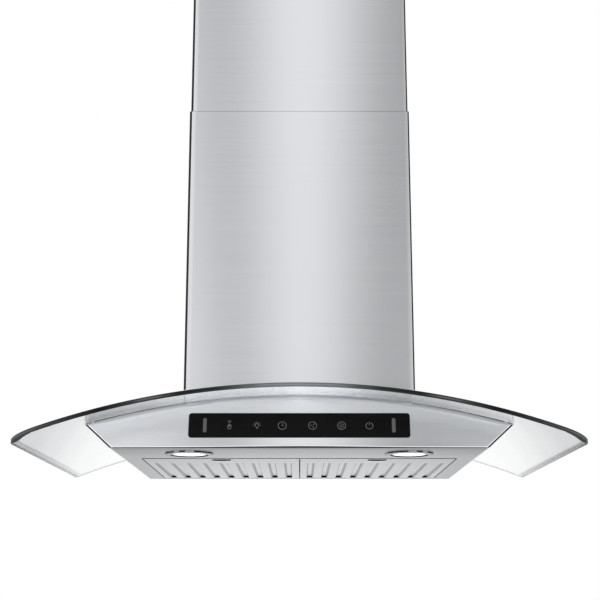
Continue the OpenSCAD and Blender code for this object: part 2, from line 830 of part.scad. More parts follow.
// Wall and folded flanges of one side, seen from the front
module side_section() {
    intersection() {
        arc_disc(body_arc_radius);
        polygon([
            [body_half - side_shift, 0], [body_half, 0],
            [body_half + side_slope * outline_height, outline_height],
            [body_half - side_shift + side_slope * outline_height, outline_height]
        ]);
    }
    intersection() {
        arc_band(body_arc_radius - sheet, body_arc_radius);
        translate([flare_half - flange, 0]) square([flange - side_shift / 2, outline_height]);
    }
    polygon([
        [body_half - flange, floor_top],
        [body_half - side_shift / 2 + side_slope * floor_top, floor_top],
        [body_half - side_shift / 2 + side_slope * (floor_top + sheet), floor_top + sheet],
        [body_half - flange, floor_top + sheet]
    ]);
}

module side_panel(side) {
    color("lightgray") from_ceiling() on_side(side) intersection() {
        along_y(-body_front, rear_inside_y) side_section();
        behind_front(running_fit);
    }
}

module bottom_plate() {
    half = body_half - side_shift - fit;
    front_y = front_inner_y(0) + 1.6;
    lip = 7;
    color("lightgray") from_ceiling() difference() {
        union() {
            translate([-half, front_y, 0]) cube([2 * half, rear_inside_y - front_y, sheet]);
            for (sx = [-1, 1])
                translate([sx * (opening_half + sheet / 2) - sheet / 2, opening_front_y + flange, 0])
                    cube([sheet, opening_back_y - opening_front_y - 2 * flange, sheet + lip]);
        }
        translate([-opening_half, opening_front_y, -cut])
            cube([2 * opening_half, opening_back_y - opening_front_y, far]);
        for (sx = [-1, 1]) translate([sx * lamp_x, lamp_y, -cut])
            cylinder(h = far, r = lamp_hole_radius);
    }
}

// --- Blower --------------------------------------------------------------------

function scroll_first(grow) =
    acos((-mouth_half - grow - fan_y) / (scroll_start + grow));

function scroll_radius(a, first) =
    scroll_start + (scroll_end - scroll_start) * (a - first) / (360 - first);

// Y-Z outline of the scroll, grown by the wall when it is the outside
module scroll_outline(grow, top) {
    first = scroll_first(grow);
    steps = 36;
    polygon(concat(
        [
            for (i = [0:steps])
                let (a = first + (360 - first) * i / steps, r = scroll_radius(a, first) + grow)
                    [fan_y + r * cos(a), fan_z + r * sin(a)]
        ],
        [[mouth_half + grow, top], [-mouth_half - grow, top]]
    ));
}

module blower_box() {
    clip_z = deck_top + capacitor_lift + capacitor_length / 3;
    clip_height = capacitor_length / 4;
    color("silver") from_ceiling() difference() {
        union() {
            difference() {
                translate([-blower_half, -blower_half_depth, deck_top])
                    cube([2 * blower_half, 2 * blower_half_depth, blower_height]);
                translate([-blower_half + sheet, -blower_half_depth + sheet, deck_top - cut])
                    cube([
                        2 * (blower_half - sheet), 2 * (blower_half_depth - sheet),
                        blower_height - sheet + cut
                    ]);
            }
            difference() {
                translate([-blower_half, -blower_half_depth, deck_top])
                    cube([2 * blower_half, 2 * blower_half_depth, sheet]);
                translate([-deck_hole_half, -deck_hole_half_depth, deck_top - cut])
                    cube([2 * deck_hole_half, 2 * deck_hole_half_depth, sheet + 2 * cut]);
            }
            translate([capacitor_x(), capacitor_y(), clip_z])
                cylinder(h = clip_height, r = capacitor_radius + fit + sheet);
        }
        translate([capacitor_x(), capacitor_y(), clip_z - cut])
            cylinder(h = clip_height + 2 * cut, r = capacitor_radius + fit);
        translate([0, 0, blower_top - 2 * cut]) cylinder(h = far, r = collar_inside);
        translate([terminal_x, terminal_y, blower_top - 2 * cut]) cylinder(h = far, r = 6);
        for (sx = [-1, 1], k = [-1, 0, 1])
            translate([sx * blower_screw_x(), k * blower_screw_pitch(), deck_top - cut])
                cylinder(h = sheet + 2 * cut, r = foot_screw_radius + close_fit);
    }
}

function capacitor_x() = -(blower_half - sheet - capacitor_radius - 2 * fit);
function capacitor_y() = blower_half_depth - 2.6 * capacitor_radius;

module capacitor() {
    tag = capacitor_radius / 4;
    color("whitesmoke") from_ceiling()
        translate([capacitor_x(), capacitor_y(), deck_top + capacitor_lift]) {
            cylinder(h = capacitor_length, r = capacitor_radius);
            for (sx = [-1, 1]) translate([(sx - 0.5) * tag, -0.4, capacitor_length - 1])
                cube([tag, 0.8, 2 * tag + 1]);
        }
}

module volute_scroll() {
    top = blower_top - sheet;
    color("silver") from_ceiling() {
        along_x(-scroll_width / 2, scroll_width / 2) difference() {
            scroll_outline(sheet, top);
            scroll_outline(0, top + cut);
        }
        difference() {
            translate([-mouth_flange_half, -mouth_flange_half, top - sheet])
                cube([2 * mouth_flange_half, 2 * mouth_flange_half, sheet]);
            translate([-scroll_width / 2 - sheet, -mouth_half, top - sheet - cut])
                cube([scroll_width + 2 * sheet, 2 * mouth_half, sheet + 2 * cut]);
        }
    }
}

// One side of the scroll with its flared inlet
module volute_side(side) {
    lip = 4;
    color("silver") from_ceiling() on_side(side) {
        difference() {
            along_x(scroll_width / 2, scroll_width / 2 + sheet)
                scroll_outline(sheet, blower_top - 2 * sheet);
            translate([0, fan_y, fan_z]) bar_x(0, far, inlet_radius);
        }
        translate([scroll_width / 2, fan_y, fan_z]) rotate([0, 90, 0]) rotate_extrude($fn = 72)
            polygon([
                [inlet_radius - 0.5, 0], [inlet_radius + sheet, 0], [inlet_radius + 3, lip - 0.6],
                [inlet_radius + 2.2, lip], [inlet_radius - 0.5, sheet]
            ]);
    }
}

module impeller() {
    half = impeller_width / 2;
    ring = 1.5;
    color("gainsboro") from_ceiling() translate([0, fan_y, fan_z]) difference() {
        union() {
            for (i = [0:blade_count - 1]) rotate([360 * i / blade_count, 0, 0])
                translate([-half + ring / 2, -0.5, impeller_radius - blade_depth + 0.5])
                    cube([impeller_width - ring, 1, blade_depth - 1]);
            for (x = [-half, half - ring]) difference() {
                bar_x(x, x + ring, impeller_radius, $fn = 96);
                bar_x(x - cut, x + ring + cut, impeller_radius - blade_depth, $fn = 96);
            }
            bar_x(-1, 1, impeller_radius - 0.5, $fn = 96);
            bar_x(-16, 0, 3 * shaft_radius);
        }
        bar_x(-far / 2, far / 2, shaft_radius + running_fit);
    }
}

module motor_shaft() {
    color("gray") from_ceiling() translate([0, fan_y, fan_z])
        bar_x(-18, motor_back_x + 6, shaft_radius);
}

module motor() {
    color("dimgray") from_ceiling() translate([0, fan_y, fan_z]) difference() {
        union() {
            bar_x(motor_front_x, motor_back_x, motor_radius);
            bar_x(motor_front_x - 3, motor_back_x + 8, 3.5 * shaft_radius);
            bar_x(bracket_x - 2, bracket_x, motor_radius + 5);
        }
        bar_x(-far / 2, far / 2, shaft_radius + running_fit);
        for (i = [0:11]) rotate([30 * i, 0, 0])
            translate([motor_front_x + 6, -1.5, motor_radius - 3])
                cube([bracket_x - 2 - motor_front_x - 10, 3, 5]);
    }
}

// Three-armed bracket that holds the motor in the scroll's inlet
module motor_bracket() {
    reach = inlet_radius + 18;
    color("silver") from_ceiling() translate([0, fan_y, fan_z]) difference() {
        union() {
            bar_x(bracket_x, bracket_x + bracket_sheet, motor_radius + 6);
            for (i = [0:2]) rotate([60 + 120 * i, 0, 0]) {
                translate([bracket_x, -7, motor_radius])
                    cube([bracket_sheet, 14, reach - motor_radius]);
                translate([scroll_width / 2 + sheet, -7, reach - 8])
                    cube([bracket_x - scroll_width / 2 - sheet + bracket_sheet / 2, 14, 8]);
            }
        }
        bar_x(0, far, motor_radius + close_fit);
    }
}

module outlet_collar() {
    color("silver") from_ceiling() difference() {
        translate([0, 0, collar_base]) cylinder(h = collar_length, r = collar_radius, $fn = 96);
        translate([0, 0, collar_base - cut])
            cylinder(h = collar_length + 2 * cut, r = collar_inside, $fn = 96);
        translate([0, 0, damper_z]) bar_x(-far / 2, far / 2, damper_rod_radius + running_fit);
    }
}

// Flat ring that carries the collar on the box
module collar_flange() {
    color("silver") from_ceiling() translate([0, 0, blower_top]) difference() {
        cylinder(h = collar_sheet, r = collar_radius + 18, $fn = 96);
        translate([0, 0, -cut]) cylinder(h = collar_sheet + 2 * cut, r = collar_inside, $fn = 96);
    }
}

module damper_rod() {
    color("gray") from_ceiling() translate([0, 0, damper_z])
        bar_x(-collar_radius + 0.2, collar_radius - 0.2, damper_rod_radius);
}

// Half-round flap on the front side, hinged on the rod by two knuckles
module damper_flap(starts) {
    color("gainsboro") difference() {
        union() {
            for (x = starts) {
                bar_x(x, x + knuckle, knuckle_radius);
                translate([x, -knuckle_radius - 2, -flap_sheet / 2])
                    cube([knuckle, knuckle_radius + 2, flap_sheet]);
            }
            translate([0, 0, -flap_sheet / 2]) difference() {
                cylinder(h = flap_sheet, r = collar_inside - 1.5, $fn = 96);
                translate([-far / 2, -knuckle_radius - 0.5, -cut]) cube([far, far, flap_sheet + 2 * cut]);
            }
        }
        bar_x(-far / 2, far / 2, damper_rod_radius + running_fit);
    }
}

module front_damper_flap() {
    from_ceiling() translate([0, 0, damper_z]) damper_flap([-2 * knuckle - 8, 4]);
}

module rear_damper_flap() {
    from_ceiling() translate([0, 0, damper_z]) mirror([0, 1, 0])
        damper_flap([-knuckle - 4, knuckle + 8]);
}

// --- Electrics -------------------------------------------------------------------

module terminal_box() {
    color([0.2, 0.2, 0.21]) from_ceiling() difference() {
        translate([terminal_x - terminal_size.x / 2, terminal_y - terminal_size.y / 2, blower_top])
            cube(terminal_size);
        translate([
            terminal_x - terminal_size.x / 2 + box_wall, terminal_y - terminal_size.y / 2 + box_wall,
            blower_top - cut
        ]) cube(terminal_size - [2 * box_wall, 2 * box_wall, box_wall - cut]);
        translate([terminal_x, terminal_y, blower_top]) cylinder(h = far, r = gland_thread() + close_fit);
    }
}

function gland_thread() = gland_bore + 3.4;

module cable_gland() {
    top = blower_top + terminal_size.z;
    color([0.12, 0.12, 0.12]) from_ceiling() translate([terminal_x, terminal_y, top]) difference() {
        union() {
            cylinder(h = 5, r = gland_thread() + 3, $fn = 6);
            translate([0, 0, 5]) cylinder(h = 9, r = gland_thread() + 1);
            translate([0, 0, -8]) cylinder(h = 9, r = gland_thread());
            translate([0, 0, -box_wall - 4]) cylinder(h = 4, r = gland_thread() + 3, $fn = 6);
        }
        translate([0, 0, -9]) cylinder(h = 24, r = gland_bore);
    }
}

module control_box() {
    color([0.25, 0.25, 0.26]) from_ceiling() translate([0, 0, floor_top]) {
        difference() {
            translate([-control_width / 2, control_front_y, 0])
                cube([control_width, control_depth, control_height]);
            translate([-control_width / 2 + box_wall, control_front_y + box_wall, box_wall])
                cube([
                    control_width - 2 * box_wall, control_depth - 2 * box_wall, control_height
                ]);
        }
        for (sx = [-1, 1], y = [control_front_y + 12, control_rear_y - 12])
            translate([sx * (control_width / 2 - 12), y, box_wall / 2]) cylinder(h = 6, r = 3);
    }
}

module control_box_lid() {
    lip = 3;
    inner = box_wall + close_fit;
    color([0.3, 0.3, 0.31]) from_ceiling()
        translate([-control_width / 2, control_front_y, floor_top + control_height]) {
            cube([control_width, control_depth, box_wall]);
            translate([inner, inner, -lip]) difference() {
                cube([control_width - 2 * inner, control_depth - 2 * inner, lip + box_wall / 2]);
                translate([box_wall, box_wall, -cut]) cube([
                    control_width - 2 * (inner + box_wall), control_depth - 2 * (inner + box_wall),
                    lip + box_wall
                ]);
            }
        }
}

module control_board() {
    z = floor_top + box_wall / 2 + 6;
    w = control_width - 2 * box_wall - 6;
    d = control_depth - 2 * box_wall - 6;
    part = w / 12;
    tall = (control_height - box_wall) / 2;
    color("darkgreen") from_ceiling() translate([-w / 2, control_front_y + box_wall + 3, z]) {
        cube([w, d, board_sheet]);
        for (i = [0:2])
            translate([(1 + 2.2 * i) * part, part, board_sheet / 2]) cube([1.5 * part, 1.3 * part, tall]);
        translate([w - 4 * part, part, board_sheet / 2]) cube([2.6 * part, 2.2 * part, tall]);
        for (i = [0:3])
            translate([(1.8 + 1.9 * i) * part, d - 1.4 * part, board_sheet / 2])
                cube([1.2 * part, 0.8 * part, tall / 2]);
    }
}

module touch_outline(grow) {
    rounded_plan(touch_width + 2 * grow, touch_height + 2 * grow, touch_corner + grow);
}

module window_outline(grow) {
    w = window_width / 2 + grow;
    straight = window_height / 2 - window_width / 2;
    translate([-w, -straight]) square([2 * w, 2 * straight]);
    for (s = [-1, 1]) translate([0, s * straight]) circle(w);
}

// Extrudes a drawing of the front view inwards from the panel's face
module into_front(y0, y1) {
    on_front() translate([0, y1, touch_lift + touch_height / 2]) rotate([90, 0, 0])
        linear_extrude(y1 - y0) children();
}

module touch_panel() {
    color([0.06, 0.06, 0.07]) from_ceiling()
        into_front(-touch_proud, touch_back) difference() {
            touch_outline(0);
            for (sx = [-1, 1]) translate([sx * window_spacing / 2, 0]) window_outline(close_fit);
        }
}

module sensor_windows() {
    color([0.45, 0.45, 0.46]) from_ceiling()
        into_front(-touch_proud, touch_back)
            for (sx = [-1, 1]) translate([sx * window_spacing / 2, 0]) window_outline(0);
}

module touch_board() {
    color("darkgreen") from_ceiling() {
        into_front(touch_back, touch_back + board_sheet)
            square([touch_width - 20, touch_height - 8], center = true);
        into_front(touch_back + board_sheet / 2, plug_depth) {
            square([24, 16], center = true);
            for (sx = [-1, 1]) translate([sx * window_spacing / 2, 0]) square([10, 12], center = true);
        }
    }
}

module wiring() {
    skew = [0.36, 0.64, 0.68];
    color([0.15, 0.15, 0.15]) from_ceiling() {
        for (side = [-1, 1]) on_side(side) tube(smooth(lamp_lead_path, 4), lead_radius, 8, skew);
        tube(smooth(touch_lead_path, 4), lead_radius, 8, [1, 0, 0]);
        tube(smooth(motor_lead_path, 4), lead_radius, 8, [0.2, 0.9, -0.4]);
        tube(smooth(supply_lead_path, 4), lead_radius, 8, [0.9, -0.4, -0.1]);
    }
}

// --- Lamps -------------------------------------------------------------------------

module lamp_bezel(side) {
    low = -bezel_drop;
    seat = low + bezel_sheet;
    inside = lamp_neck_radius - lamp_neck_wall;
    color("silver") from_ceiling() on_side(side) translate([lamp_x, lamp_y, 0]) {
        rotate_extrude($fn = 96) polygon([
            [lens_radius, low], [bezel_radius - 1, low], [bezel_radius, low + 1],
            [bezel_radius, seat], [lamp_neck_radius, seat], [lamp_neck_radius, lamp_neck_height],
            [inside, lamp_neck_height], [inside, seat], [lens_radius, seat]
        ]);
        for (i = [0:7]) rotate([0, 0, 45 * i + 20])
            translate([lamp_hole_radius + 0.8, -2.5, low + bezel_sheet / 2])
                cube([2.4, 5, bezel_drop - bezel_sheet / 2]);
    }
}

module lamp_lens(side) {
    seat = -bezel_drop + bezel_sheet;
    color([0.97, 0.97, 0.95]) from_ceiling() on_side(side) translate([lamp_x, lamp_y, seat])
        cylinder(h = lens_sheet, r = lamp_neck_radius - lamp_neck_wall - fit, $fn = 72);
}

module lamp_body(side) {
    base = -bezel_drop + bezel_sheet + lens_sheet;
    color("gray") from_ceiling() on_side(side) translate([lamp_x, lamp_y, 0]) {
        translate([0, 0, base]) cylinder(
            h = lamp_neck_height - 2 - base, r = lamp_neck_radius - lamp_neck_wall - fit, $fn = 72
        );
        translate([0, 0, lamp_neck_height - 3]) cylinder(h = 8, r = 22);
    }
}

module lamp_clips() {
    clip_sheet = 0.8;
    color("silver") from_ceiling() for (side = [-1, 1], turn = [0, 180])
        translate([side * lamp_x, lamp_y, 0]) rotate([0, 0, turn + 90]) {
            translate([lamp_neck_radius + close_fit, -5, floor_top])
                cube([13, 10, clip_sheet]);
            translate([lamp_neck_radius + close_fit, -5, floor_top]) cube([clip_sheet, 10, 12]);
        }
}

// --- Lower chimney -------------------------------------------------------------------

module lower_chimney() {
    color("lightgray") from_ceiling() difference() {
        square_tube(chimney_width, chimney_sheet, chimney_corner, 0, lower_chimney_top);
        along_y(-far / 2, far / 2)
            arc_disc(glass_bend_radius + chimney_seal_thickness + 2 * close_fit);
    }
}

module chimney_seal() {
    low = glass_bend_radius + close_fit;
    color([0.2, 0.2, 0.2]) from_ceiling() intersection() {
        square_tube(chimney_width + 2, chimney_sheet + 2, chimney_corner + 1, 0, glass_crown_height + 20);
        along_y(-far / 2, far / 2) arc_band(low, low + chimney_seal_thickness);
    }
}

// --- Filters ---------------------------------------------------------------------------

module filter_frame(side) {
    d = filter_back + filter_front;
    wall = filter_frame_sheet;
    rim = filter_top_flange;
    color("lightgray") from_ceiling() on_side(side) {
        difference() {
            translate([filter_inner_x, -filter_front, face_sheet])
                cube([filter_width, d, filter_thickness - face_sheet]);
            translate([filter_inner_x + wall, -filter_front + wall, 0])
                cube([filter_width - 2 * wall, d - 2 * wall, filter_thickness - wall]);
            translate([filter_inner_x + rim, -filter_front + rim, 0])
                cube([filter_width - 2 * rim, d - 2 * rim, filter_thickness + cut]);
            translate([filter_mid_x - tongue_width / 2 - fit, -filter_front - cut, face_sheet - cut])
                cube([tongue_width + 2 * fit, wall + 2 * cut, latch_z + latch_sheet + fit]);
        }
        for (s = [-1, 1])
            translate([filter_mid_x + s * tab_spread - tab_width / 2, filter_back - wall, floor_top + fit])
                cube([tab_width, wall + tab_reach, tab_sheet]);
    }
}

// Pressed face: each louvre is a strip that ramps up into the cassette and is open at the rear
module filter_face(side) {
    d = filter_back + filter_front;
    wall = face_sheet;
    color("gainsboro") from_ceiling() on_side(side) {
        difference() {
            translate([filter_inner_x, -filter_front, 0]) cube([filter_width, d, face_sheet]);
            for (i = [0:louvre_count - 1])
                translate([louvre_x(i) - louvre_width / 2, louvre_start_y, -cut])
                    cube([louvre_width, louvre_length, face_sheet + 2 * cut]);
            translate([filter_mid_x - finger_slot_width / 2, finger_slot_front_y, -cut])
                cube([
                    finger_slot_width, finger_slot_rear_y - finger_slot_front_y,
                    face_sheet + 2 * cut
                ]);
        }
        for (i = [0:louvre_count - 1]) translate([louvre_x(i), 0, 0]) {
            along_x(-louvre_width / 2 - wall, louvre_width / 2 + wall) polygon([
                [louvre_start_y - wall, 0], [louvre_start_y, 0],
                [louvre_end_y, louvre_rise], [louvre_end_y, louvre_rise + wall],
                [louvre_start_y - wall, wall]
            ]);
            for (x = [-louvre_width / 2 - wall, louvre_width / 2]) along_x(x, x + wall) polygon([
                [louvre_start_y, 0], [louvre_end_y, 0],
                [louvre_end_y, louvre_rise + wall / 2], [louvre_start_y, wall / 2]
            ]);
        }
        translate([filter_mid_x, latch_rear_y - 14, 0]) for (s = [-1, 1]) on_side(s) {
            translate([latch_width / 2 + fit, 0, face_sheet / 2]) cube([2, 12, latch_rise()]);
            translate([latch_width / 2 - 1.2, 0, latch_z + latch_sheet + fit]) cube([2.5, 12, 1]);
        }
        translate([filter_mid_x - 5, spring_seat_y, face_sheet / 2]) cube([10, 1.2, 7.5]);
    }
}

function latch_rise() = latch_z + latch_sheet + fit - face_sheet / 2 + 1;
function louvre_x(i) = filter_mid_x + (i - (louvre_count - 1) / 2) * louvre_pitch;

// Slotted sheet that closes the top of the cassette
module filter_back_sheet(side) {
    d = filter_back + filter_front;
    wall = filter_frame_sheet;
    z = filter_thickness - wall - face_sheet;
    color("silver") from_ceiling() on_side(side) difference() {
        translate([filter_inner_x + wall + close_fit, -filter_front + wall + close_fit, z])
            cube([filter_width - 2 * (wall + close_fit), d - 2 * (wall + close_fit), face_sheet]);
        for (i = [0:louvre_count - 2])
            translate([louvre_x(i) + louvre_pitch / 2 - louvre_width / 2, louvre_start_y, z - cut])
                cube([louvre_width, louvre_length, face_sheet + 2 * cut]);
    }
}

module latch(side) {
    window = finger_tab_y - finger_slot_front_y;
    top = latch_z + latch_sheet;
    color("silver") from_ceiling() on_side(side) translate([filter_mid_x, 0, 0]) difference() {
        union() {
            translate([-latch_width / 2, latch_front_y, latch_z])
                cube([latch_width, latch_rear_y - latch_front_y, latch_sheet]);
            translate([-tongue_width / 2, opening_front_y - tongue_reach, latch_z])
                cube([tongue_width, latch_front_y - opening_front_y + tongue_reach + cut, latch_sheet]);
            translate([-finger_slot_width / 2 + 2, finger_tab_y, 0])
                cube([finger_slot_width - 4, finger_tab_depth, latch_z + latch_sheet / 2]);
            translate([-6, latch_rear_y - 1.2, latch_z]) cube([12, 1.2, 6]);
        }
        translate([-finger_slot_width / 2 + 1, finger_slot_front_y, -cut])
            cube([finger_slot_width - 2, window, top + 2 * cut]);
    }
}

module latch_spring(side) {
    span = spring_seat_y - latch_rear_y - 2 * spring_wire - 2 * fit / 3;
    count = spring_turns * spring_steps;
    path = [
        for (i = [0:count])
            let (a = 360 * i / spring_steps)
                [
                    filter_mid_x + spring_radius * cos(a),
                    latch_rear_y + spring_wire + fit / 3 + span * i / count,
                    spring_z + spring_radius * sin(a)
                ]
    ];
    color("gray") from_ceiling() on_side(side) tube(path, spring_wire, 8, [0, 1, 0]);
}

// --- Assembly ----------------------------------------------------------------------------

ceiling_plate();
upper_legs();
upper_leg_screws();
upper_chimney();
upper_chimney_screws();
lower_legs();
leg_clamp_bolts();
deck_screws();
glass_canopy();
glass_seal();
glass_bushes();
glass_screws();
deck_plate();
front_panel();
rear_panel();
side_panel(-1);  // left_side_panel
side_panel(1);  // right_side_panel
bottom_plate();
blower_box();
volute_scroll();
volute_side(-1);  // left_volute_side
volute_side(1);  // right_volute_side
motor();
motor_bracket();
outlet_collar();
collar_flange();
damper_rod();
capacitor();
terminal_box();
cable_gland();
control_box();
control_box_lid();
control_board();
touch_panel();
touch_board();
sensor_windows();
wiring();
lamp_bezel(-1);  // left_lamp_bezel
lamp_bezel(1);  // right_lamp_bezel
lamp_lens(-1);  // left_lamp_lens
lamp_lens(1);  // right_lamp_lens
lamp_body(-1);  // left_lamp_body
lamp_body(1);  // right_lamp_body
lamp_clips();
lower_chimney();
chimney_seal();
filter_frame(-1);  // left_filter_frame
filter_frame(1);  // right_filter_frame
filter_face(-1);  // left_filter_face
filter_face(1);  // right_filter_face
filter_back_sheet(-1);  // left_filter_back
filter_back_sheet(1);  // right_filter_back
latch(-1);  // left_latch
latch(1);  // right_latch
latch_spring(-1);  // left_latch_spring
latch_spring(1);  // right_latch_spring
impeller();
motor_shaft();
front_damper_flap();
rear_damper_flap();
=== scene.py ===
import math

import bmesh
import bpy
import numpy as np
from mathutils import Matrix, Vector


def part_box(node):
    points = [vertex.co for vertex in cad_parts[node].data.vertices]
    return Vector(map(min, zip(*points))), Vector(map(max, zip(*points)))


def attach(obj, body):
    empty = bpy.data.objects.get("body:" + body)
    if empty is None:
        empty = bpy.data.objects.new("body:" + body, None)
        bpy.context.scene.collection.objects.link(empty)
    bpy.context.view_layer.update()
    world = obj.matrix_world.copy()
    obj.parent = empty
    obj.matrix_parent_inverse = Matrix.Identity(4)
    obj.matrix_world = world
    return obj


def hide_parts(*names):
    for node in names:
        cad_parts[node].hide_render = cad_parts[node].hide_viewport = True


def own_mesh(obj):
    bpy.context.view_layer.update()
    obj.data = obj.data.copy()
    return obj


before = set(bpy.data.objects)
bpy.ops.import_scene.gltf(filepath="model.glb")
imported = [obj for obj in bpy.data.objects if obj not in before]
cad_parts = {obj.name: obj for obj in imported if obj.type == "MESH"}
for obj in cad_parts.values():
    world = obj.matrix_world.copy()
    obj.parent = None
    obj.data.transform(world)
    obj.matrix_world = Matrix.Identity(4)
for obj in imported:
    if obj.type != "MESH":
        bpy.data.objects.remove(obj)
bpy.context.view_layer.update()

# Glass and body arcs share one axis along Y
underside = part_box("rear_panel")[0].z
glassBend = {"radius": 1.2344, "crown": 0.0944, "sheet": 0.0069, "seal": 0.0005}
bodyLine = {"half": 0.300, "flareHalf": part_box("rear_panel")[1].x, "lean": math.radians(13),
            "front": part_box("front_panel")[0].y}
bodyRadius = glassBend["radius"] - glassBend["sheet"] - glassBend["seal"]
axisHeight = underside + glassBend["crown"] - glassBend["radius"]
sharpFrom = 35  # degrees between two faces from which their edge is sharp
fineBump = 0.0002  # height of a fine grain
nearZero = 1e-12
nearPoint = 0.001  # share of a ring's size that closes it to the eye
sideName = {-1: "left", 1: "right"}


# Height of an arc of that radius at x: the axis height plus the root of radius squared less x squared
def arcHeight(radius, x):
    return axisHeight + np.sqrt(radius * radius - x * x)


bodyLine["slope"] = (bodyLine["flareHalf"] - bodyLine["half"]) / (
    arcHeight(bodyRadius, bodyLine["flareHalf"]) - underside
)


def smoothStep(low, high, value):  # 3t squared less 2t cubed, with t held between 0 and 1
    t = np.clip((value - low) / (high - low), 0, 1)
    return t * t * (3 - 2 * t)


# Quads between neighbours of a grid of points, its rows and columns each wrapped or not
def gridQuads(grid, wrapRows=False, wrapColumns=False):
    rows, columns = grid.shape[:2]
    r = np.arange(rows if wrapRows else rows - 1)
    c = np.arange(columns if wrapColumns else columns - 1)
    r, c = np.meshgrid(r, c, indexing="ij")
    here, after, nextC = r * columns, (r + 1) % rows * columns, (c + 1) % columns
    return np.stack([here + c, here + nextC, after + nextC, after + c], -1).reshape(-1, 4)


def addObject(name, data):
    made = bpy.data.objects.new(name, data)
    bpy.context.scene.collection.objects.link(made)
    return made


# One mesh from several (points, quads, slot index) parts; its normals are turned outwards,
# except on an open sheet
def meshPiece(name, parts, materials, body, creaseDegrees=sharpFrom, outward=True):
    points, quads, slots, start = [], [], [], 0
    for grid, faces, slot in parts:
        points.append(np.asarray(grid, float).reshape(-1, 3))
        quads.append(faces + start)
        slots.append(np.broadcast_to(slot, len(faces)))
        start += len(points[-1])
    points, quads, slots = np.concatenate(points), np.concatenate(quads), np.concatenate(slots)
    mesh = bpy.data.meshes.new(name)
    mesh.vertices.add(len(points))
    mesh.vertices.foreach_set("co", points.ravel().astype(np.float32))
    mesh.loops.add(quads.size)
    mesh.loops.foreach_set("vertex_index", quads.ravel().astype(np.int32))
    mesh.polygons.add(len(quads))
    mesh.polygons.foreach_set("loop_start", np.arange(0, quads.size, 4, dtype=np.int32))
    mesh.polygons.foreach_set("material_index", slots.astype(np.int32))
    mesh.update(calc_edges=True)
    mesh.validate()
    for material in materials:
        mesh.materials.append(material)
    if outward:
        work = bmesh.new()
        work.from_mesh(mesh)
        bmesh.ops.remove_doubles(work, verts=work.verts, dist=1e-7)
        bmesh.ops.recalc_face_normals(work, faces=work.faces)
        work.to_mesh(mesh)
        work.free()
    mesh.shade_smooth()
    mesh.set_sharp_from_angle(angle=math.radians(creaseDegrees))
    piece = addObject(name, mesh)
    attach(piece, body)
    return piece


# A wall from one grid of points: a second grid one thickness behind it along the
# grid's own normal, and a rim of quads round the border
def wallFromGrid(grid, thickness):
    normal = np.cross(np.gradient(grid, axis=0), np.gradient(grid, axis=1))
    normal /= np.maximum(np.linalg.norm(normal, axis=-1, keepdims=True), nearZero)
    inner = grid - normal * thickness
    rows, columns = grid.shape[:2]
    faces, count = gridQuads(grid), rows * columns
    ids = np.arange(count).reshape(rows, columns)
    edge = np.concatenate([ids[0, :-1], ids[:-1, -1], ids[-1, :0:-1], ids[:0:-1, 0]])
    rim = np.stack([edge, np.roll(edge, -1), np.roll(edge, -1) + count, edge + count], -1)
    points = np.concatenate([grid.reshape(-1, 3), inner.reshape(-1, 3)])
    quads = np.concatenate([faces, faces[:, ::-1] + count, rim])
    return points, quads, np.zeros(len(quads), int)


# Points of a rectangle with round corners, counter-clockwise, some on each side
def roundedOutline(width, depth, radii, perCorner, perSide):
    arcs, points = [], []
    for radius, sx, sy, start in zip(radii, (1, -1, -1, 1), (1, 1, -1, -1), (0, 90, 180, 270)):
        a = np.radians(np.linspace(start, start + 90, perCorner))
        arcs.append(np.stack([sx * (width / 2 - radius) + radius * np.cos(a),
                              sy * (depth / 2 - radius) + radius * np.sin(a)], -1))
    t = np.linspace(0, 1, perSide + 2)[1:-1, None]
    for arc, after in zip(arcs, arcs[1:] + arcs[:1]):
        points += [arc, arc[-1] + (after[0] - arc[-1]) * t]
    return np.concatenate(points)


def places(x, y, z):  # points from three arrays that fit each other
    return np.stack(np.broadcast_arrays(x, y, z), -1)


# A profile of (radius, height) pairs turned round a vertical line
def turnedGrid(profile, centre, steps):
    a = np.linspace(0, 2 * math.pi, steps, endpoint=False)
    r, z = np.array(profile, float).T[..., None]
    return places(centre[0] + r * np.cos(a), centre[1] + r * np.sin(a), centre[2] + z)


def tube(grid, slot=0):  # a part for meshPiece from a grid that closes both ways
    return grid, gridQuads(grid, True, True), slot


def cutAway(piece, cutter):  # a boolean cut, made part of the mesh
    cut = piece.modifiers.new("cut", "BOOLEAN")
    cut.operation, cut.solver, cut.object = "DIFFERENCE", "EXACT", cutter
    graph = bpy.context.evaluated_depsgraph_get()
    done = bpy.data.meshes.new_from_object(piece.evaluated_get(graph))
    piece.modifiers.clear()
    old = piece.data
    piece.data = done
    done.name = piece.name
    bpy.data.meshes.remove(old)
    done.set_sharp_from_angle(angle=math.radians(sharpFrom))
    bpy.data.objects.remove(cutter)


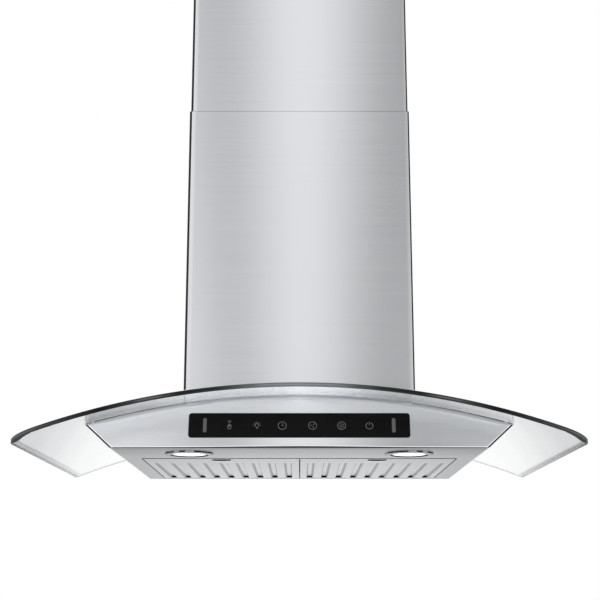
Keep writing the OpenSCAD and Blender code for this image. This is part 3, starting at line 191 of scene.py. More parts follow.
# Short ways to add nodes to one node tree
class Graph:
    def __init__(self, tree):
        self.nodes, self.links = tree.nodes, tree.links

    def link(self, source, target):
        self.links.new(source, target)

    def add(self, kind, inputs=(), **settings):  # an input is a value or another node's output
        node = self.nodes.new("ShaderNode" + kind)
        for key, value in settings.items():
            setattr(node, key, value)
        for socket, value in dict(inputs).items():
            if isinstance(value, bpy.types.NodeSocket):
                self.link(value, node.inputs[socket])
            else:
                node.inputs[socket].default_value = value
        return node

    def maths(self, operation, *values):
        return self.add("Math", enumerate(values), operation=operation).outputs[0]

    def times(self, first, second):
        return self.maths("MULTIPLY", first, second)

    # Takes the stretch between fromLow and fromHigh to the one between low and high
    def spread(self, source, low, high, fromLow=0.3, fromHigh=0.7, kind="LINEAR"):
        inputs = {"Value": source, "From Min": fromLow, "From Max": fromHigh, "To Min": low, "To Max": high}
        return self.add("MapRange", inputs, interpolation_type=kind).outputs["Result"]

    def colours(self, source, stops, kind="LINEAR"):
        node = self.add("ValToRGB")
        ramp = node.color_ramp
        ramp.interpolation = kind
        while len(ramp.elements) < len(stops):
            ramp.elements.new(0.5)
        for element, (place, colour) in zip(ramp.elements, stops):
            element.position = place
            element.color = (*colour, 1)
        self.link(source, node.inputs["Fac"])
        return node.outputs["Color"]


# A material with its Principled shader
class Finish(Graph):
    def __init__(self, name, colour, roughness, metallic=0.0):
        self.material = bpy.data.materials.new(name)
        self.material.use_nodes = True
        super().__init__(self.material.node_tree)
        self.shader = self.nodes["Principled BSDF"]
        self.set("Base Color", (*colour, 1))
        self.set("Roughness", roughness)
        self.set("Metallic", metallic)
        self.place = self.add("TexCoord").outputs["Object"]

    def set(self, socket, value):
        self.shader.inputs[socket].default_value = value

    def stretched(self, scale):
        return self.add("Mapping", {"Vector": self.place, "Scale": scale}).outputs["Vector"]

    def along(self, axis):
        return self.add("SeparateXYZ", {"Vector": self.place}).outputs[axis]

    def noise(self, scale=1.0, detail=4.0, stretch=None):
        vector = self.stretched(stretch) if stretch else self.place
        inputs = {"Vector": vector, "Scale": scale, "Detail": detail, "Roughness": 0.55}
        return self.add("TexNoise", inputs).outputs["Fac"]

    def blend(self, first, second, share):  # share times the first plus the rest times the second
        return self.maths("ADD", self.times(first, share), self.times(second, 1 - share))

    def tint(self, source, stops):
        self.link(self.colours(source, stops), self.shader.inputs["Base Color"])

    def dull(self, source, *limits):
        self.link(self.spread(source, *limits), self.shader.inputs["Roughness"])

    def bump(self, height, strength, distance=fineBump):
        node = self.add("Bump", {"Strength": strength, "Distance": distance, "Height": height})
        self.link(node.outputs["Normal"], self.shader.inputs["Normal"])

    def clear(self, share):  # lets that share of the light straight through
        through = self.add("BsdfTransparent").outputs["BSDF"]
        mix = self.add("MixShader", {0: share, 1: self.shader.outputs["BSDF"], 2: through})
        self.link(mix.outputs["Shader"], self.nodes["Material Output"].inputs["Surface"])


def shade(colour, factor):
    return tuple(c * factor for c in colour)


def shades(colour, *stops):  # ramp stops from pairs of a place and a factor on the colour
    return [(place, shade(colour, factor)) for place, factor in stops]


white = (1, 1, 1)
steelFinish = {
    "colour": (0.785, 0.795, 0.82), "roughness": 0.2, "anisotropy": 0.95, "turn": 0.25,
    "grainScale": 900.0, "grainLength": 5.0, "bandScale": 130.0, "cloudScale": 3.2, "bump": 0.02,
}


# Brushed sheet: noise stretched along the brushing line, so it changes fast only on the axis
# across it; fade is (from Y, to Y, stops), a painted shade that darkens the sheet towards its front
def brushedSteel(name, across, factor=1.0, roughness=None, anisotropy=None, fade=None):
    f = steelFinish
    base, rough = shade(f["colour"], factor), roughness or f["roughness"]
    finish = Finish(name, base, rough, 1.0)
    scale = [f["grainLength"]] * 3
    scale[across] = f["grainScale"]
    grain = finish.noise(detail=3.0, stretch=scale)
    scale[across] = f["bandScale"]
    band = finish.noise(detail=2.0, stretch=scale)
    cloud = finish.noise(scale=f["cloudScale"], detail=3.0)
    mixed = finish.blend(grain, band, 0.6)
    tone = finish.colours(mixed, shades(base, (0.3, 0.975), (0.5, 1), (0.7, 1.015)))
    # painted shade: the colour is multiplied by a grey ramp along Y
    if fade:
        low, high, stops = fade
        paintedShade = finish.colours(finish.spread(finish.along("Y"), 0.0, 1.0, low, high), shades(white, *stops))
        tone = finish.add("Mix", {"Factor": 1.0, 6: tone, 7: paintedShade}, data_type="RGBA",
                          blend_type="MULTIPLY").outputs[2]
    finish.link(tone, finish.shader.inputs["Base Color"])
    finish.dull(finish.blend(mixed, cloud, 0.7), rough * 0.94, rough * 1.06)
    finish.set("Anisotropic", f["anisotropy"] if anisotropy is None else anisotropy)
    finish.set("Anisotropic Rotation", f["turn"])
    tangent = finish.add("Tangent", direction_type="RADIAL", axis="Z" if across == 2 else "Y")
    finish.link(tangent.outputs["Tangent"], finish.shader.inputs["Tangent"])
    finish.bump(grain, f["bump"])
    return finish.material


steelUpright = brushedSteel("brushedSteelUpright", 2)
# painted shade on the bottom plate and lamp rings: darkest along the front edge, lighter towards the filters
flatPaintedShade = (-0.25, -0.05, [(0.0, 0.38), (0.05, 0.4), (0.11, 0.46), (0.178, 0.59), (0.25, 0.67), (0.35, 0.73),
                           (0.5, 0.795), (0.62, 0.89), (0.72, 0.94), (1.0, 0.96)])
steelFlat = brushedSteel("brushedSteelFlat", 1, roughness=0.24, anisotropy=0.7, fade=flatPaintedShade)
# painted shade and painted light on the filter faces: darker at the front, lighter towards the rear
pressedPaintedShade = (-0.1, 0.25, [(0.0, 0.95), (0.4, 1.06), (1.0, 1.17)])
steelPressed = brushedSteel("pressedSteel", 1, roughness=0.26, anisotropy=0.3, fade=pressedPaintedShade)
# darker copy: painted shade on the louvre shoulders and behind the bead at the finger slot
steelShoulderShade = brushedSteel("pressedShoulderPaintedShade", 1, 0.5, 0.3, 0.3, pressedPaintedShade)
# lighter copy: painted highlight on the louvre floors near their mouths and on the bead's front
steelRampHighlight = brushedSteel("pressedRampPaintedHighlight", 1, 1.2, 0.3, 0.3)
# near-black copy: painted shade in the chimney's corner bends and along the lower sleeve's top edge
steelFoldShade = brushedSteel("foldedSteelPaintedShade", 2, 0.05, 0.3, 0.5)
# lighter copy: painted highlight on the front panel's foot bend and side bends
steelHighlight = brushedSteel("paintedHighlightSteel", 2, 1.2, 0.18, 0.5)


# Zinc-coated sheet: Voronoi cells for the spangle, fine noise for its haze
def galvanisedSheet(name, colour, roughness=0.38):
    finish = Finish(name, colour, roughness, 1.0)
    cell = finish.add("TexVoronoi", {"Vector": finish.place, "Scale": 85.0}).outputs["Color"]
    haze = finish.noise(scale=40.0, detail=5.0)
    tone = finish.blend(finish.add("SeparateColor", {"Color": cell}).outputs[0], haze, 0.65)
    finish.tint(tone, shades(colour, (0.1, 0.8), (0.5, 1), (0.9, 1.18)))
    finish.dull(tone, roughness * 0.8, roughness * 1.25, 0.1, 0.9)
    finish.bump(haze, 0.08, 0.0003)
    return finish.material


# Plated or cast metal: two scales of noise on colour, roughness and height
def platedMetal(name, colour, roughness=0.25, grain=260.0, bump=0.05):
    finish = Finish(name, colour, roughness, 1.0)
    fine = finish.noise(scale=grain)
    tone = finish.blend(fine, finish.noise(scale=28.0, detail=3.0), 0.5)
    finish.tint(tone, shades(colour, (0.3, 0.86), (0.5, 1), (0.7, 1.08)))
    finish.dull(tone, roughness * 0.75, roughness * 1.3)
    finish.bump(fine, bump)
    return finish.material


# Moulded plastic or rubber: fine spark texture with broad, faint variation
def mouldedPlastic(name, colour, roughness=0.5, grain=900.0, bump=0.12, variation=0.12):
    finish = Finish(name, colour, roughness)
    fine = finish.noise(scale=grain, detail=2.0)
    broad = finish.noise(scale=22.0, detail=3.0)
    finish.tint(broad, shades(colour, (0.3, 1 - variation), (0.7, 1 + variation)))
    finish.dull(fine, roughness * 0.85, min(roughness * 1.15, 1))
    finish.bump(fine, bump)
    return finish.material


# Printed board: green lacquer with fine copper lines from a brick pattern
def printedBoard(name):
    finish = Finish(name, (0.02, 0.11, 0.045), 0.35)
    brick = finish.add("TexBrick", {
        "Vector": finish.stretched((260, 260, 260)), "Color1": (0.016, 0.10, 0.04, 1),
        "Color2": (0.02, 0.13, 0.05, 1), "Mortar": (0.06, 0.22, 0.09, 1), "Mortar Size": 0.03,
    })
    finish.link(brick.outputs["Color"], finish.shader.inputs["Base Color"])
    finish.dull(finish.noise(scale=300.0), 0.28, 0.45)
    finish.bump(brick.outputs["Fac"], 0.1)
    return finish.material


# Shadow rays pass the glass, so it doesn't shade what is under it
def temperedGlass(tint=(0.955, 0.975, 0.985), index=1.45):
    finish = Finish("temperedGlass", tint, 0.0)
    finish.set("Transmission Weight", 1.0)
    finish.set("IOR", index)
    smear = finish.noise(scale=7.0, detail=5.0)
    finish.dull(smear, 0.0, 0.03, 0.35, 0.8)
    finish.tint(smear, shades(tint, (0.3, 0.985), (0.7, 1)))
    finish.clear(finish.add("LightPath").outputs["Is Shadow Ray"])
    return finish.material


# Ground edge of the glass: its grey is a painted reflection that changes with the distance from the middle,
# or from front to rear on the sides, with the length of glass behind it
def paintedEdgeReflection(name, greys, roughness=0.45, frontToRear=False):
    finish = Finish(name, (0.1, 0.1, 0.1), roughness)
    shift = 0.3 if frontToRear else 0.0  # a ramp has no stops under 0
    if frontToRear:
        away = finish.maths("ADD", finish.along("Y"), shift)
    else:
        away = finish.maths("ABSOLUTE", finish.along("X"))
    grain = finish.noise(stretch=(60, 60, 60))
    place = finish.maths("ADD", away, finish.times(finish.maths("SUBTRACT", grain, 0.5), 0.03))
    finish.tint(place, shades((0.97, 1, 1.04), *((x + shift, grey) for x, grey in greys)))
    finish.dull(grain, roughness * 0.8, roughness * 1.2)
    finish.set("Specular IOR Level", 0.02)
    return finish.material


# painted reflection in the glass edges: middle band, thin lines and sides
glassClear = temperedGlass()
glassEdgeMiddle = paintedEdgeReflection("glassEdgeMiddle", [
    (0.0, 0.28), (0.05, 0.25), (0.095, 0.075), (0.13, 0.018), (0.165, 0.014), (0.19, 0.02), (0.215, 0.13),
    (0.235, 0.14), (0.26, 0.05), (0.29, 0.02), (0.31, 0.008), (0.34, 0.02), (0.375, 0.045), (0.40, 0.08),
    (0.434, 0.17)])
glassEdgeLine = paintedEdgeReflection("glassEdgeLine", [
    (0.0, 0.22), (0.06, 0.16), (0.12, 0.045), (0.19, 0.02), (0.24, 0.06), (0.30, 0.015), (0.40, 0.05),
    (0.45, 0.09)])
glassEdgeSide = paintedEdgeReflection("glassEdgeSide", [
    (-0.28, 0.2), (-0.24, 0.45), (-0.19, 0.68), (-0.12, 0.82), (0.2, 0.82), (0.29, 0.45)], frontToRear=True)

panelGlass = Finish("blackPanelGlass", (0.0055, 0.0055, 0.006), 0.12)
smudge = panelGlass.noise(scale=26.0, detail=5.0)
panelGlass.dull(smudge, 0.1, 0.22)
panelGlass.tint(smudge, [(0.3, (0.005, 0.005, 0.0055)), (0.7, (0.0065, 0.0065, 0.007))])
panelGlass.set("Specular IOR Level", 0.05)
blackGlass = panelGlass.material

greyLens = mouldedPlastic("greySensorLens", (0.098, 0.098, 0.1), 0.4, bump=0.03)
symbolInk = mouldedPlastic("symbolInk", (0.16, 0.16, 0.165), 0.5, bump=0.02)
blackPlastic = mouldedPlastic("blackPlastic", (0.03, 0.03, 0.032), 0.5)
whitePlastic = mouldedPlastic("whitePlastic", (0.72, 0.72, 0.7), 0.45, variation=0.05)
blackRubber = mouldedPlastic("blackRubber", (0.022, 0.022, 0.023), 0.7, grain=600.0, bump=0.2)
clearRubber = mouldedPlastic("clearRubber", (0.68, 0.7, 0.7), 0.55, grain=600.0, bump=0.1, variation=0.06)
zincPlate = platedMetal("zincPlate", (0.62, 0.63, 0.64), 0.28)
castAluminium = platedMetal("castAluminium", (0.72, 0.725, 0.73), 0.36, grain=420.0, bump=0.1)
polishedRing = platedMetal("polishedRing", (0.8, 0.805, 0.81), 0.14, grain=700.0, bump=0.02)
motorPaint = mouldedPlastic("motorPaint", (0.06, 0.06, 0.063), 0.42, grain=500.0)
galvanised = galvanisedSheet("galvanisedSheet", (0.56, 0.58, 0.6))
fanSheet = galvanisedSheet("fanWheelSheet", (0.6, 0.61, 0.62), 0.32)
boardFinish = printedBoard("controlBoard")
# dark, low-gloss filter frames and backs: painted shade inside the cassettes, behind the louvre mouths
filterInsideShade = mouldedPlastic("filterInsidePaintedShade", (0.035, 0.035, 0.037), 0.6, grain=420.0, bump=0.2)
# black latch tabs: painted shade in the finger slots
latchShadeBlack = mouldedPlastic("latchPaintedShade", (0.012, 0.012, 0.013), 0.6)
# near-black finish for painted shade and dark reflection in bends, gaps, grooves and sheet edges
paintedShadeBlack = mouldedPlastic("paintedShadeLine", (0.022, 0.022, 0.023), 0.6, bump=0.05)
# low gloss, so the painted shade shows no reflection
for material in (filterInsideShade, latchShadeBlack, paintedShadeBlack):
    material.node_tree.nodes["Principled BSDF"].inputs["Specular IOR Level"].default_value = 0.03

frosted = Finish("frostedLens", (0.95, 0.95, 0.94), 0.35)
frost = frosted.noise(scale=500.0, detail=2.0)
frosted.dull(frost, 0.3, 0.45)
frosted.tint(frost, [(0.3, (0.93, 0.93, 0.92)), (0.7, (0.97, 0.97, 0.96))])
frosted.set("Emission Color", (1.0, 0.995, 0.98, 1))
frosted.set("Emission Strength", 0.9)
frosted.bump(frost, 0.05)
lampGlow = frosted.material

# For the CAD meshes that stay; the others are replaced further down
nodeFinish = {
    galvanised: "ceiling_plate upper_legs lower_legs deck_plate blower_box volute_scroll left_volute_side "
                "right_volute_side motor_bracket outlet_collar collar_flange",
    zincPlate: "upper_leg_screws upper_chimney_screws leg_clamp_bolts deck_screws glass_screws damper_rod "
               "lamp_clips motor_shaft",
    steelUpright: "rear_panel",
    steelFlat: "bottom_plate",
    # the filter frames and backs carry painted shade
    filterInsideShade: "left_filter_frame right_filter_frame left_filter_back right_filter_back",
    # the latches carry painted shade
    latchShadeBlack: "left_latch right_latch",
    castAluminium: "left_lamp_body right_lamp_body front_damper_flap rear_damper_flap",
    blackRubber: "glass_bushes chimney_seal",
    blackPlastic: "terminal_box cable_gland control_box control_box_lid wiring",
    whitePlastic: "capacitor",
    motorPaint: "motor",
    boardFinish: "control_board touch_board",
    fanSheet: "impeller",
}
for material, nodes in nodeFinish.items():
    for node in nodes.split():
        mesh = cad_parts[node].data
        mesh.materials.clear()
        mesh.materials.append(material)
print("finishes on the CAD nodes")

canopy = {"frontCorner": 0.040, "rearCorner": 0.008, "opening": 0.300, "openingCorner": 0.010,
          "chamfer": 0.0008, "perCorner": 20, "perSide": 110, "rings": 26, "screwX": 0.060, "screwHole": 0.005,
          "washer": 0.010, "drillHalf": 0.020, "drillDrop": 0.003, "drillCore": 0.0001, "drillAround": 32,
          "sideBand": 0.002}


# Rings between the opening's outline and the outer outline; a ring point lies at a share
# of the way between them, and its height is the arc of the bend radius less its depth in the sheet
def buildCanopy():
    c, sheet, chamfer = canopy, glassBend["sheet"], canopy["chamfer"]
    low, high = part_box("glass_canopy")
    size = np.array([high.x - low.x, high.y - low.y])
    radii = [c["rearCorner"]] * 2 + [c["frontCorner"]] * 2
    outer = roundedOutline(*size, radii, c["perCorner"], c["perSide"])
    inner = roundedOutline(c["opening"], c["opening"], [c["openingCorner"]] * 4, c["perCorner"], c["perSide"])
    outerEdge = outer * (1 - chamfer * 2 / size)
    innerEdge = inner * (1 + chamfer * 2 / c["opening"])

    def ring(plan, deep):  # an outline laid on the arc, so deep under the glass's top
        return np.column_stack([plan, arcHeight(glassBend["radius"] - deep, plan[:, 0])])

    share = np.linspace(0, 1, c["rings"])
    top = [ring(innerEdge + (outerEdge - innerEdge) * s, 0.0) for s in share]
    wall = [ring(outer, deep) for deep in np.linspace(chamfer, sheet - chamfer, 4)]
    bottom = [ring(innerEdge + (outerEdge - innerEdge) * s, sheet) for s in share[::-1]]
    innerWall = [ring(inner, sheet - chamfer), ring(inner, chamfer)]
    grid = np.array(top + wall + bottom + innerWall)
    slots = np.zeros(grid.shape[:2], int)
    # painted reflection on the glass edge: thin lines above and below a middle band, and lighter sides
    edgeRows = slice(len(top) - 1, len(top) + 4)
    slots[edgeRows] = np.array([1, 1, 2, 1, 1])[:, None]  # thin lines above and below a middle band
    slots[edgeRows, np.abs(outer[:, 0]) > size[0] / 2 - c["sideBand"]] = 3
    piece = meshPiece("glassCanopy", [tube(grid, slots.ravel())],
                      [glassClear, glassEdgeLine, glassEdgeMiddle, glassEdgeSide], "hood")
    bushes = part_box("glass_bushes")
    screwY = (bushes[1].y - bushes[0].y) / 2 - c["washer"]
    half, radius, core = c["drillHalf"], c["screwHole"], c["drillCore"]
    profile = [(core, -half), (radius, -half), (radius, half), (core, half)]
    middle = underside + glassBend["crown"] - c["drillDrop"]
    holes = [tube(turnedGrid(profile, (x, y, middle), c["drillAround"]))
             for x in (-c["screwX"], c["screwX"]) for y in (-screwY, screwY)]
    cutAway(piece, meshPiece("glassDrill", holes, [glassClear], "hood"))
    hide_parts("glass_canopy")


buildCanopy()
print("glass canopy")

sleeve = {"corner": 0.0032, "leftCorner": 0.0042, "sheet": 0.0010, "hem": 0.0006, "seam": 0.00045,
          "plainFoot": 0.0185, "perCorner": 14, "perSide": 46, "lift": 0.0020}


# A square outline with round corners carried upwards; the lower edge of the lower sleeve
# follows the glass arc; its corner bends and the lower sleeve's top edge get painted shade as thin dark lines
def buildSleeve(name, node, body, foot):
    low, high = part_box(node)
    width, depth, tall = high - low
    sheet, perCorner, perSide = sleeve["sheet"], sleeve["perCorner"], sleeve["perSide"]
    radii = [sleeve["corner"], sleeve["corner"], sleeve["leftCorner"], sleeve["corner"]]
    outline = roundedOutline(width, depth, radii, perCorner, perSide)
    insideOutline = roundedOutline(width - 2 * sheet, depth - 2 * sheet, [radius - sheet for radius in radii],
                                   perCorner, perSide)
    rise = np.concatenate([[0, sleeve["hem"] / tall, 0.02, sleeve["plainFoot"] / tall],
                           np.linspace(0.1, 0.98, 11), [1 - sleeve["seam"] / tall, 1]])
    rows = []
    for plan, shares in ((outline, rise), (insideOutline, rise[::-1])):
        bottom = foot(plan[:, 0]) if foot else np.full(len(plan), low.z)
        rows += [np.column_stack([plan, bottom + (high.z - bottom) * t]) for t in shares]
    grid = np.array(rows)
    inCorner = np.arange(grid.shape[1]) % (perCorner + perSide)
    # painted shade: dark lines down the corner bends and along the lower sleeve's top edge
    edge = (inCorner > 0) & (inCorner < perCorner - 1)
    slots = np.zeros(grid.shape[:2], int)
    slots[3 if foot else 0:len(rise) - 1, edge] = 1
    if foot:
        slots[len(rise) - 2] = 1
    piece = meshPiece(name, [tube(grid, slots.ravel())], [steelUpright, steelFoldShade], body)
    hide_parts(node)


footRadius = glassBend["radius"] + sleeve["lift"]
buildSleeve("upperSleeve", "upper_chimney", "ceiling_frame", None)
buildSleeve("lowerSleeve", "lower_chimney", "lower_chimney", lambda x: arcHeight(footRadius, x))
print("chimney sleeves")

frontSheet = {
    "sheet": 0.0010, "topBend": 0.0165, "topTurn": 58.0, "topRise": 0.0020, "topFlange": 0.009,
    "sideBend": 0.006, "sideReturn": 0.004, "footBend": 0.0012, "footDrop": 0.0003, "footBow": 0.0018,
    "footReturn": 0.003, "seamGap": 0.0003, "endFrom": 0.94, "sideTurns": [4, 9, 14, 19, 21, 38, 55, 72, 90],
    "endColumns": 8, "faceColumns": 81, "footSteps": 8, "faceSteps": 20, "topSteps": 18,
    # rows and columns of the grid's faces: foot bend with painted highlight, leaning face, painted highlight
    # on the side bend, painted shade line, return
    "footRows": (3, 8), "faceRows": 40, "bright": (0, 10), "dark": (2, 6), "return": (0, 2),
}


# Across: side return, side bend, flat face, side bend, side return. Up: foot bend, leaning
# face, top bend, a sloping strip up to the arc and a flange that follows it
def buildFrontPanel():
    f, lean, half = frontSheet, bodyLine["lean"], bodyLine["half"]
    leanDegrees = math.degrees(lean)
    ends = np.linspace(f["endFrom"], 1, f["endColumns"])[1:]
    span = np.concatenate([-ends[::-1], np.linspace(-f["endFrom"], f["endFrom"], f["faceColumns"]), ends])
    height = np.full(len(span), 0.05)
    for _ in range(12):  # the side line meets the arc
        height = arcHeight(bodyRadius, span * (half + bodyLine["slope"] * height)) - underside
    fullness = 1 - 0.5 * np.abs(span) ** 12
    topBend, topRise = f["topBend"] * fullness, f["topRise"] * fullness
    foot = f["footBow"] * (1 - span ** 2) ** 6 - f["footDrop"]
    footBend = f["footBend"]
    reach = footBend * math.tan(math.radians((90 + leanDegrees) / 2))
    footY = foot * math.tan(lean) + reach
    turnTop = np.radians(np.linspace(leanDegrees, f["topTurn"], f["topSteps"]))
    rows = [(footY + f["footReturn"], foot)]
    for a in np.radians(np.linspace(-90, leanDegrees, f["footSteps"])):
        rows.append((footY - footBend * math.cos(a), foot + footBend * (1 + math.sin(a))))
    bendZ = height - topRise - topBend * (math.sin(turnTop[-1]) - math.sin(lean))
    bendY = bendZ * math.tan(lean)
    startY, startZ = rows[-1]
    for t in np.linspace(0, 1, f["faceSteps"])[1:-1]:
        rows.append((startY + (bendY - startY) * t, startZ + (bendZ - startZ) * t))
    for a in turnTop:
        rows.append((bendY + topBend * (math.cos(lean) - math.cos(a)),
                     bendZ + topBend * (math.sin(a) - math.sin(lean))))
    topY = rows[-1][0] + topRise * math.tan(turnTop[-1])
    for t in (0.5, 1.0):
        rows.append((rows[-1][0] + (topY - rows[-1][0]) * t, rows[-1][1] + (height - rows[-1][1]) * t))
    rows += [(topY + f["topFlange"] * t, height) for t in (0.3, 1.0)]
    y, z = np.array(rows).transpose(1, 0, 2)
    side = half + bodyLine["slope"] * z
    radius = f["sideBend"]
    flat = np.stack([span * (side - radius), y, z], -1)
    bends = []
    for sign, column in ((-1, 0), (1, -1)):
        edgeX, edgeY, edgeZ = side[:, column], y[:, column], z[:, column]
        bends.append([
            np.stack([sign * (edgeX - radius + radius * math.sin(a)),
                      edgeY + radius * (1 - math.cos(a)), edgeZ], -1)
            for a in np.radians(f["sideTurns"])
        ] + [np.stack([sign * edgeX, edgeY + radius + f["sideReturn"], edgeZ], -1)])
    left, right = np.array(bends[0][::-1]).transpose(1, 0, 2), np.array(bends[1]).transpose(1, 0, 2)
    grid = np.concatenate([left, flat, right], axis=1) + np.array([0, bodyLine["front"], underside])
    points, quads, slots = wallFromGrid(grid[:, ::-1], f["sheet"])
    # painted shade on the foot's return and the outer part of the side bends; painted highlight on the foot
    # bend and the inner part of the side bends
    zone = np.zeros((grid.shape[0] - 1, grid.shape[1] - 1), int)
    zone[slice(*f["footRows"])] = 2
    zone[:f["footRows"][0]] = 1
    for name, slot in (("bright", 2), ("dark", 1), ("return", 0)):
        first, last = f[name]
        rowsHere = slice(None if name == "return" else f["faceRows"])
        zone[rowsHere, first:last] = slot
        zone[rowsHere, zone.shape[1] - last:zone.shape[1] - first] = slot
    slots[:zone.size] = zone.ravel()
    piece = meshPiece("frontPanel", [(points, quads, slots)], [steelUpright, paintedShadeBlack, steelHighlight], "hood")
    rear = y[1:-2, 0] + radius + f["sideReturn"] + f["seamGap"] + bodyLine["front"]
    contact = np.column_stack([flat[-2, :, 0], topY + bodyLine["front"]])
    return piece, np.column_stack([z[1:-2, 0] + underside, rear]), contact


frontPanel, sideStart, topContact = buildFrontPanel()

sidePanel = {"sheet": 0.0010, "topFlange": 0.0115, "floorFlange": 0.011, "inset": 0.0004, "floorSheet": 0.0012,
             "skin": 0.0001, "wallSteps": 24, "flangeSteps": 8, "depthSteps": 30, "floorSteps": 6}


# The wall's section (up the slope, then inwards along the arc) carried from the front panel's
# return to the rear panel, with the floor flange as a second strip
def buildSidePanel(side):
    p = sidePanel
    prefix = sideName[side]
    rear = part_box(prefix + "_side_panel")[1].y - p["inset"]
    top = arcHeight(bodyRadius, bodyLine["flareHalf"] - p["inset"])
    wallZ = np.linspace(underside, top, p["wallSteps"])
    wallX = bodyLine["half"] + bodyLine["slope"] * (wallZ - underside) - p["skin"]
    flangeX = wallX[-1] - p["topFlange"] * np.linspace(0.02, 1, p["flangeSteps"])
    sectionZ = np.concatenate([wallZ, arcHeight(bodyRadius, flangeX)])
    share = np.linspace(0, 1, p["depthSteps"])

    def carried(x, z):  # a section carried straight backwards from the front panel's return
        start = np.interp(z, *sideStart.T)[:, None]
        grid = places(side * x[:, None], start + (rear - start) * share, z[:, None])
        return grid if side > 0 else grid[:, ::-1]

    floorX = bodyLine["half"] - p["floorFlange"] * np.linspace(0.1, 1, p["floorSteps"])
    floor = carried(floorX, np.full(p["floorSteps"], underside))
    floor[..., 2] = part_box("bottom_plate")[0].z + p["floorSheet"]
    parts = [wallFromGrid(carried(np.concatenate([wallX, flangeX]), sectionZ)[:, ::-1], p["sheet"]),
             wallFromGrid(floor, p["sheet"])]
    piece = meshPiece(prefix + "SidePanel", parts, [steelUpright], "hood")
    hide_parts(prefix + "_side_panel")


buildSidePanel(-1)
buildSidePanel(1)
print("side panels")

seal = {"width": 0.008, "setback": 0.0002, "gap": 0.00004, "endRoom": 0.013, "sideInset": 0.0025,
        "acrossSteps": 5, "rearSteps": 60, "sideSteps": 50}


# Strips between body and glass: a grid along each edge, its height the body's arc plus the gap
def buildSeal():
    f = seal
    under = glassBend["radius"] - glassBend["sheet"]
    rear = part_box("glass_seal")[1].y
    thickness = under - bodyRadius - 2 * f["gap"]
    across = np.linspace(0, f["width"], f["acrossSteps"])
    parts = []

    def strip(x, y):  # a wall hung from the glass's underside
        parts.append(wallFromGrid(places(x, y, arcHeight(under - f["gap"], x)), thickness))

    inside = np.abs(topContact[:, 0]) < bodyLine["flareHalf"] - f["endRoom"]
    frontX, frontY = topContact[inside].T
    frontY = frontY + f["setback"]
    strip(frontX[:, None], frontY[:, None] + across)
    strip(np.linspace(frontX[0], frontX[-1], f["rearSteps"])[:, None], rear - f["width"] + across)
    alongY = np.linspace(frontY[0] + f["setback"], rear, f["sideSteps"])
    for side in (-1, 1):
        sideX = side * (bodyLine["flareHalf"] - f["sideInset"] - f["width"] + across)
        strip(sideX[::side, None], alongY)
    piece = meshPiece("glassSeal", parts, [clearRubber], "hood")
    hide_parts("glass_seal")


footStrip = {"endRoom": 0.008, "front": 0.0022, "depth": 0.0125, "taper": 0.8, "sheet": 0.00028,
             "lowest": -0.9253, "alongSteps": 61, "acrossSteps": 6}


# Dark strip of painted shade in the groove between the panel's foot and the bottom plate; its front
# edge keeps behind the foot and its rear edge bows backwards towards the middle
def buildFootShadeStrip():
    f, half = footStrip, bodyLine["half"]
    x = np.linspace(-half + f["endRoom"], half - f["endRoom"], f["alongSteps"])[:, None]
    depth = f["depth"] * (1 - f["taper"] * (x / half) ** 2)
    y = bodyLine["front"] + f["front"] + depth * np.linspace(0, 1, f["acrossSteps"])
    wall = wallFromGrid(places(x, y, f["lowest"] + f["sheet"]), f["sheet"])
    piece = meshPiece("footShadeStrip", [wall], [paintedShadeBlack], "hood")


buildSeal()
buildFootShadeStrip()
print("seals")

touch = {"width": 0.3507, "height": 0.041, "lift": 0.01545, "corner": 0.005, "proud": 0.0006, "depth": 0.0040,
         "edge": 0.0005, "gap": 0.0003, "windowSpacing": 0.299, "windowWidth": 0.006, "windowHeight": 0.0245,
         "windowDepth": 0.0030, "windowProud": 0.00012, "windowEdge": 0.00035, "cutHalf": 0.008,
         "perCorner": 10, "perSide": 6, "edgeSteps": 6}


# Turns (x, height on the face, depth outwards) into places on the leaning face
def onFace(x, up, out):
    lean = bodyLine["lean"]
    y = bodyLine["front"] + up * math.sin(lean) - out * math.cos(lean)
    z = underside + up * math.cos(lean) + out * math.sin(lean)
    return places(x, y, z)


# Outlines stacked outwards along the face's normal, the last ones drawn in for a soft
# edge and closed by rings shrinking to a line
def facePlate(width, height, corner, centreX, low, high, edge):
    base = roundedOutline(width, height, [corner] * 4, touch["perCorner"], touch["perSide"])
    size = np.array([width, height])
    drawn = [(base * share, out) for share, out in ((nearPoint, low), (0.5, low), (1, low), (1, high - edge))]
    for a in np.radians(np.linspace(15, 90, touch["edgeSteps"])):
        drawn.append((base * (1 - 2 * edge * (1 - math.cos(a)) / size), high - edge + edge * math.sin(a)))
    for share in (0.85, 0.6, 0.3, nearPoint):
        drawn.append((base * (1 - 2 * edge / size) * np.array([1 - (1 - share) * 0.5, share]), high))
    grid = np.array([onFace(centreX + plan[:, 0], middleUp + plan[:, 1], out) for plan, out in drawn])
    return grid, gridQuads(grid, wrapColumns=True), 0


middleUp = touch["lift"] + touch["height"] / 2
opening = facePlate(touch["width"] + 2 * touch["gap"], touch["height"] + 2 * touch["gap"],
                    touch["corner"] + touch["gap"], 0, -touch["cutHalf"], touch["cutHalf"], 0.0001)
cutAway(frontPanel, meshPiece("panelCutter", [opening], [steelUpright], "hood"))
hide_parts("front_panel")
print("front panel")

plate = facePlate(touch["width"], touch["height"], touch["corner"], 0, touch["proud"] - touch["depth"],
                  touch["proud"], touch["edge"])
touchGlass = meshPiece("touchGlass", [plate], [blackGlass], "hood", creaseDegrees=50)
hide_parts("touch_panel")

bars = [facePlate(touch["windowWidth"], touch["windowHeight"], touch["windowWidth"] / 2 - 0.0001, x,
                  -touch["windowDepth"], touch["proud"] + touch["windowProud"], touch["windowEdge"])
        for x in (-touch["windowSpacing"] / 2, touch["windowSpacing"] / 2)]
windows = meshPiece("sensorBars", bars, [greyLens], "hood", creaseDegrees=50)
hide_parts("sensor_windows")

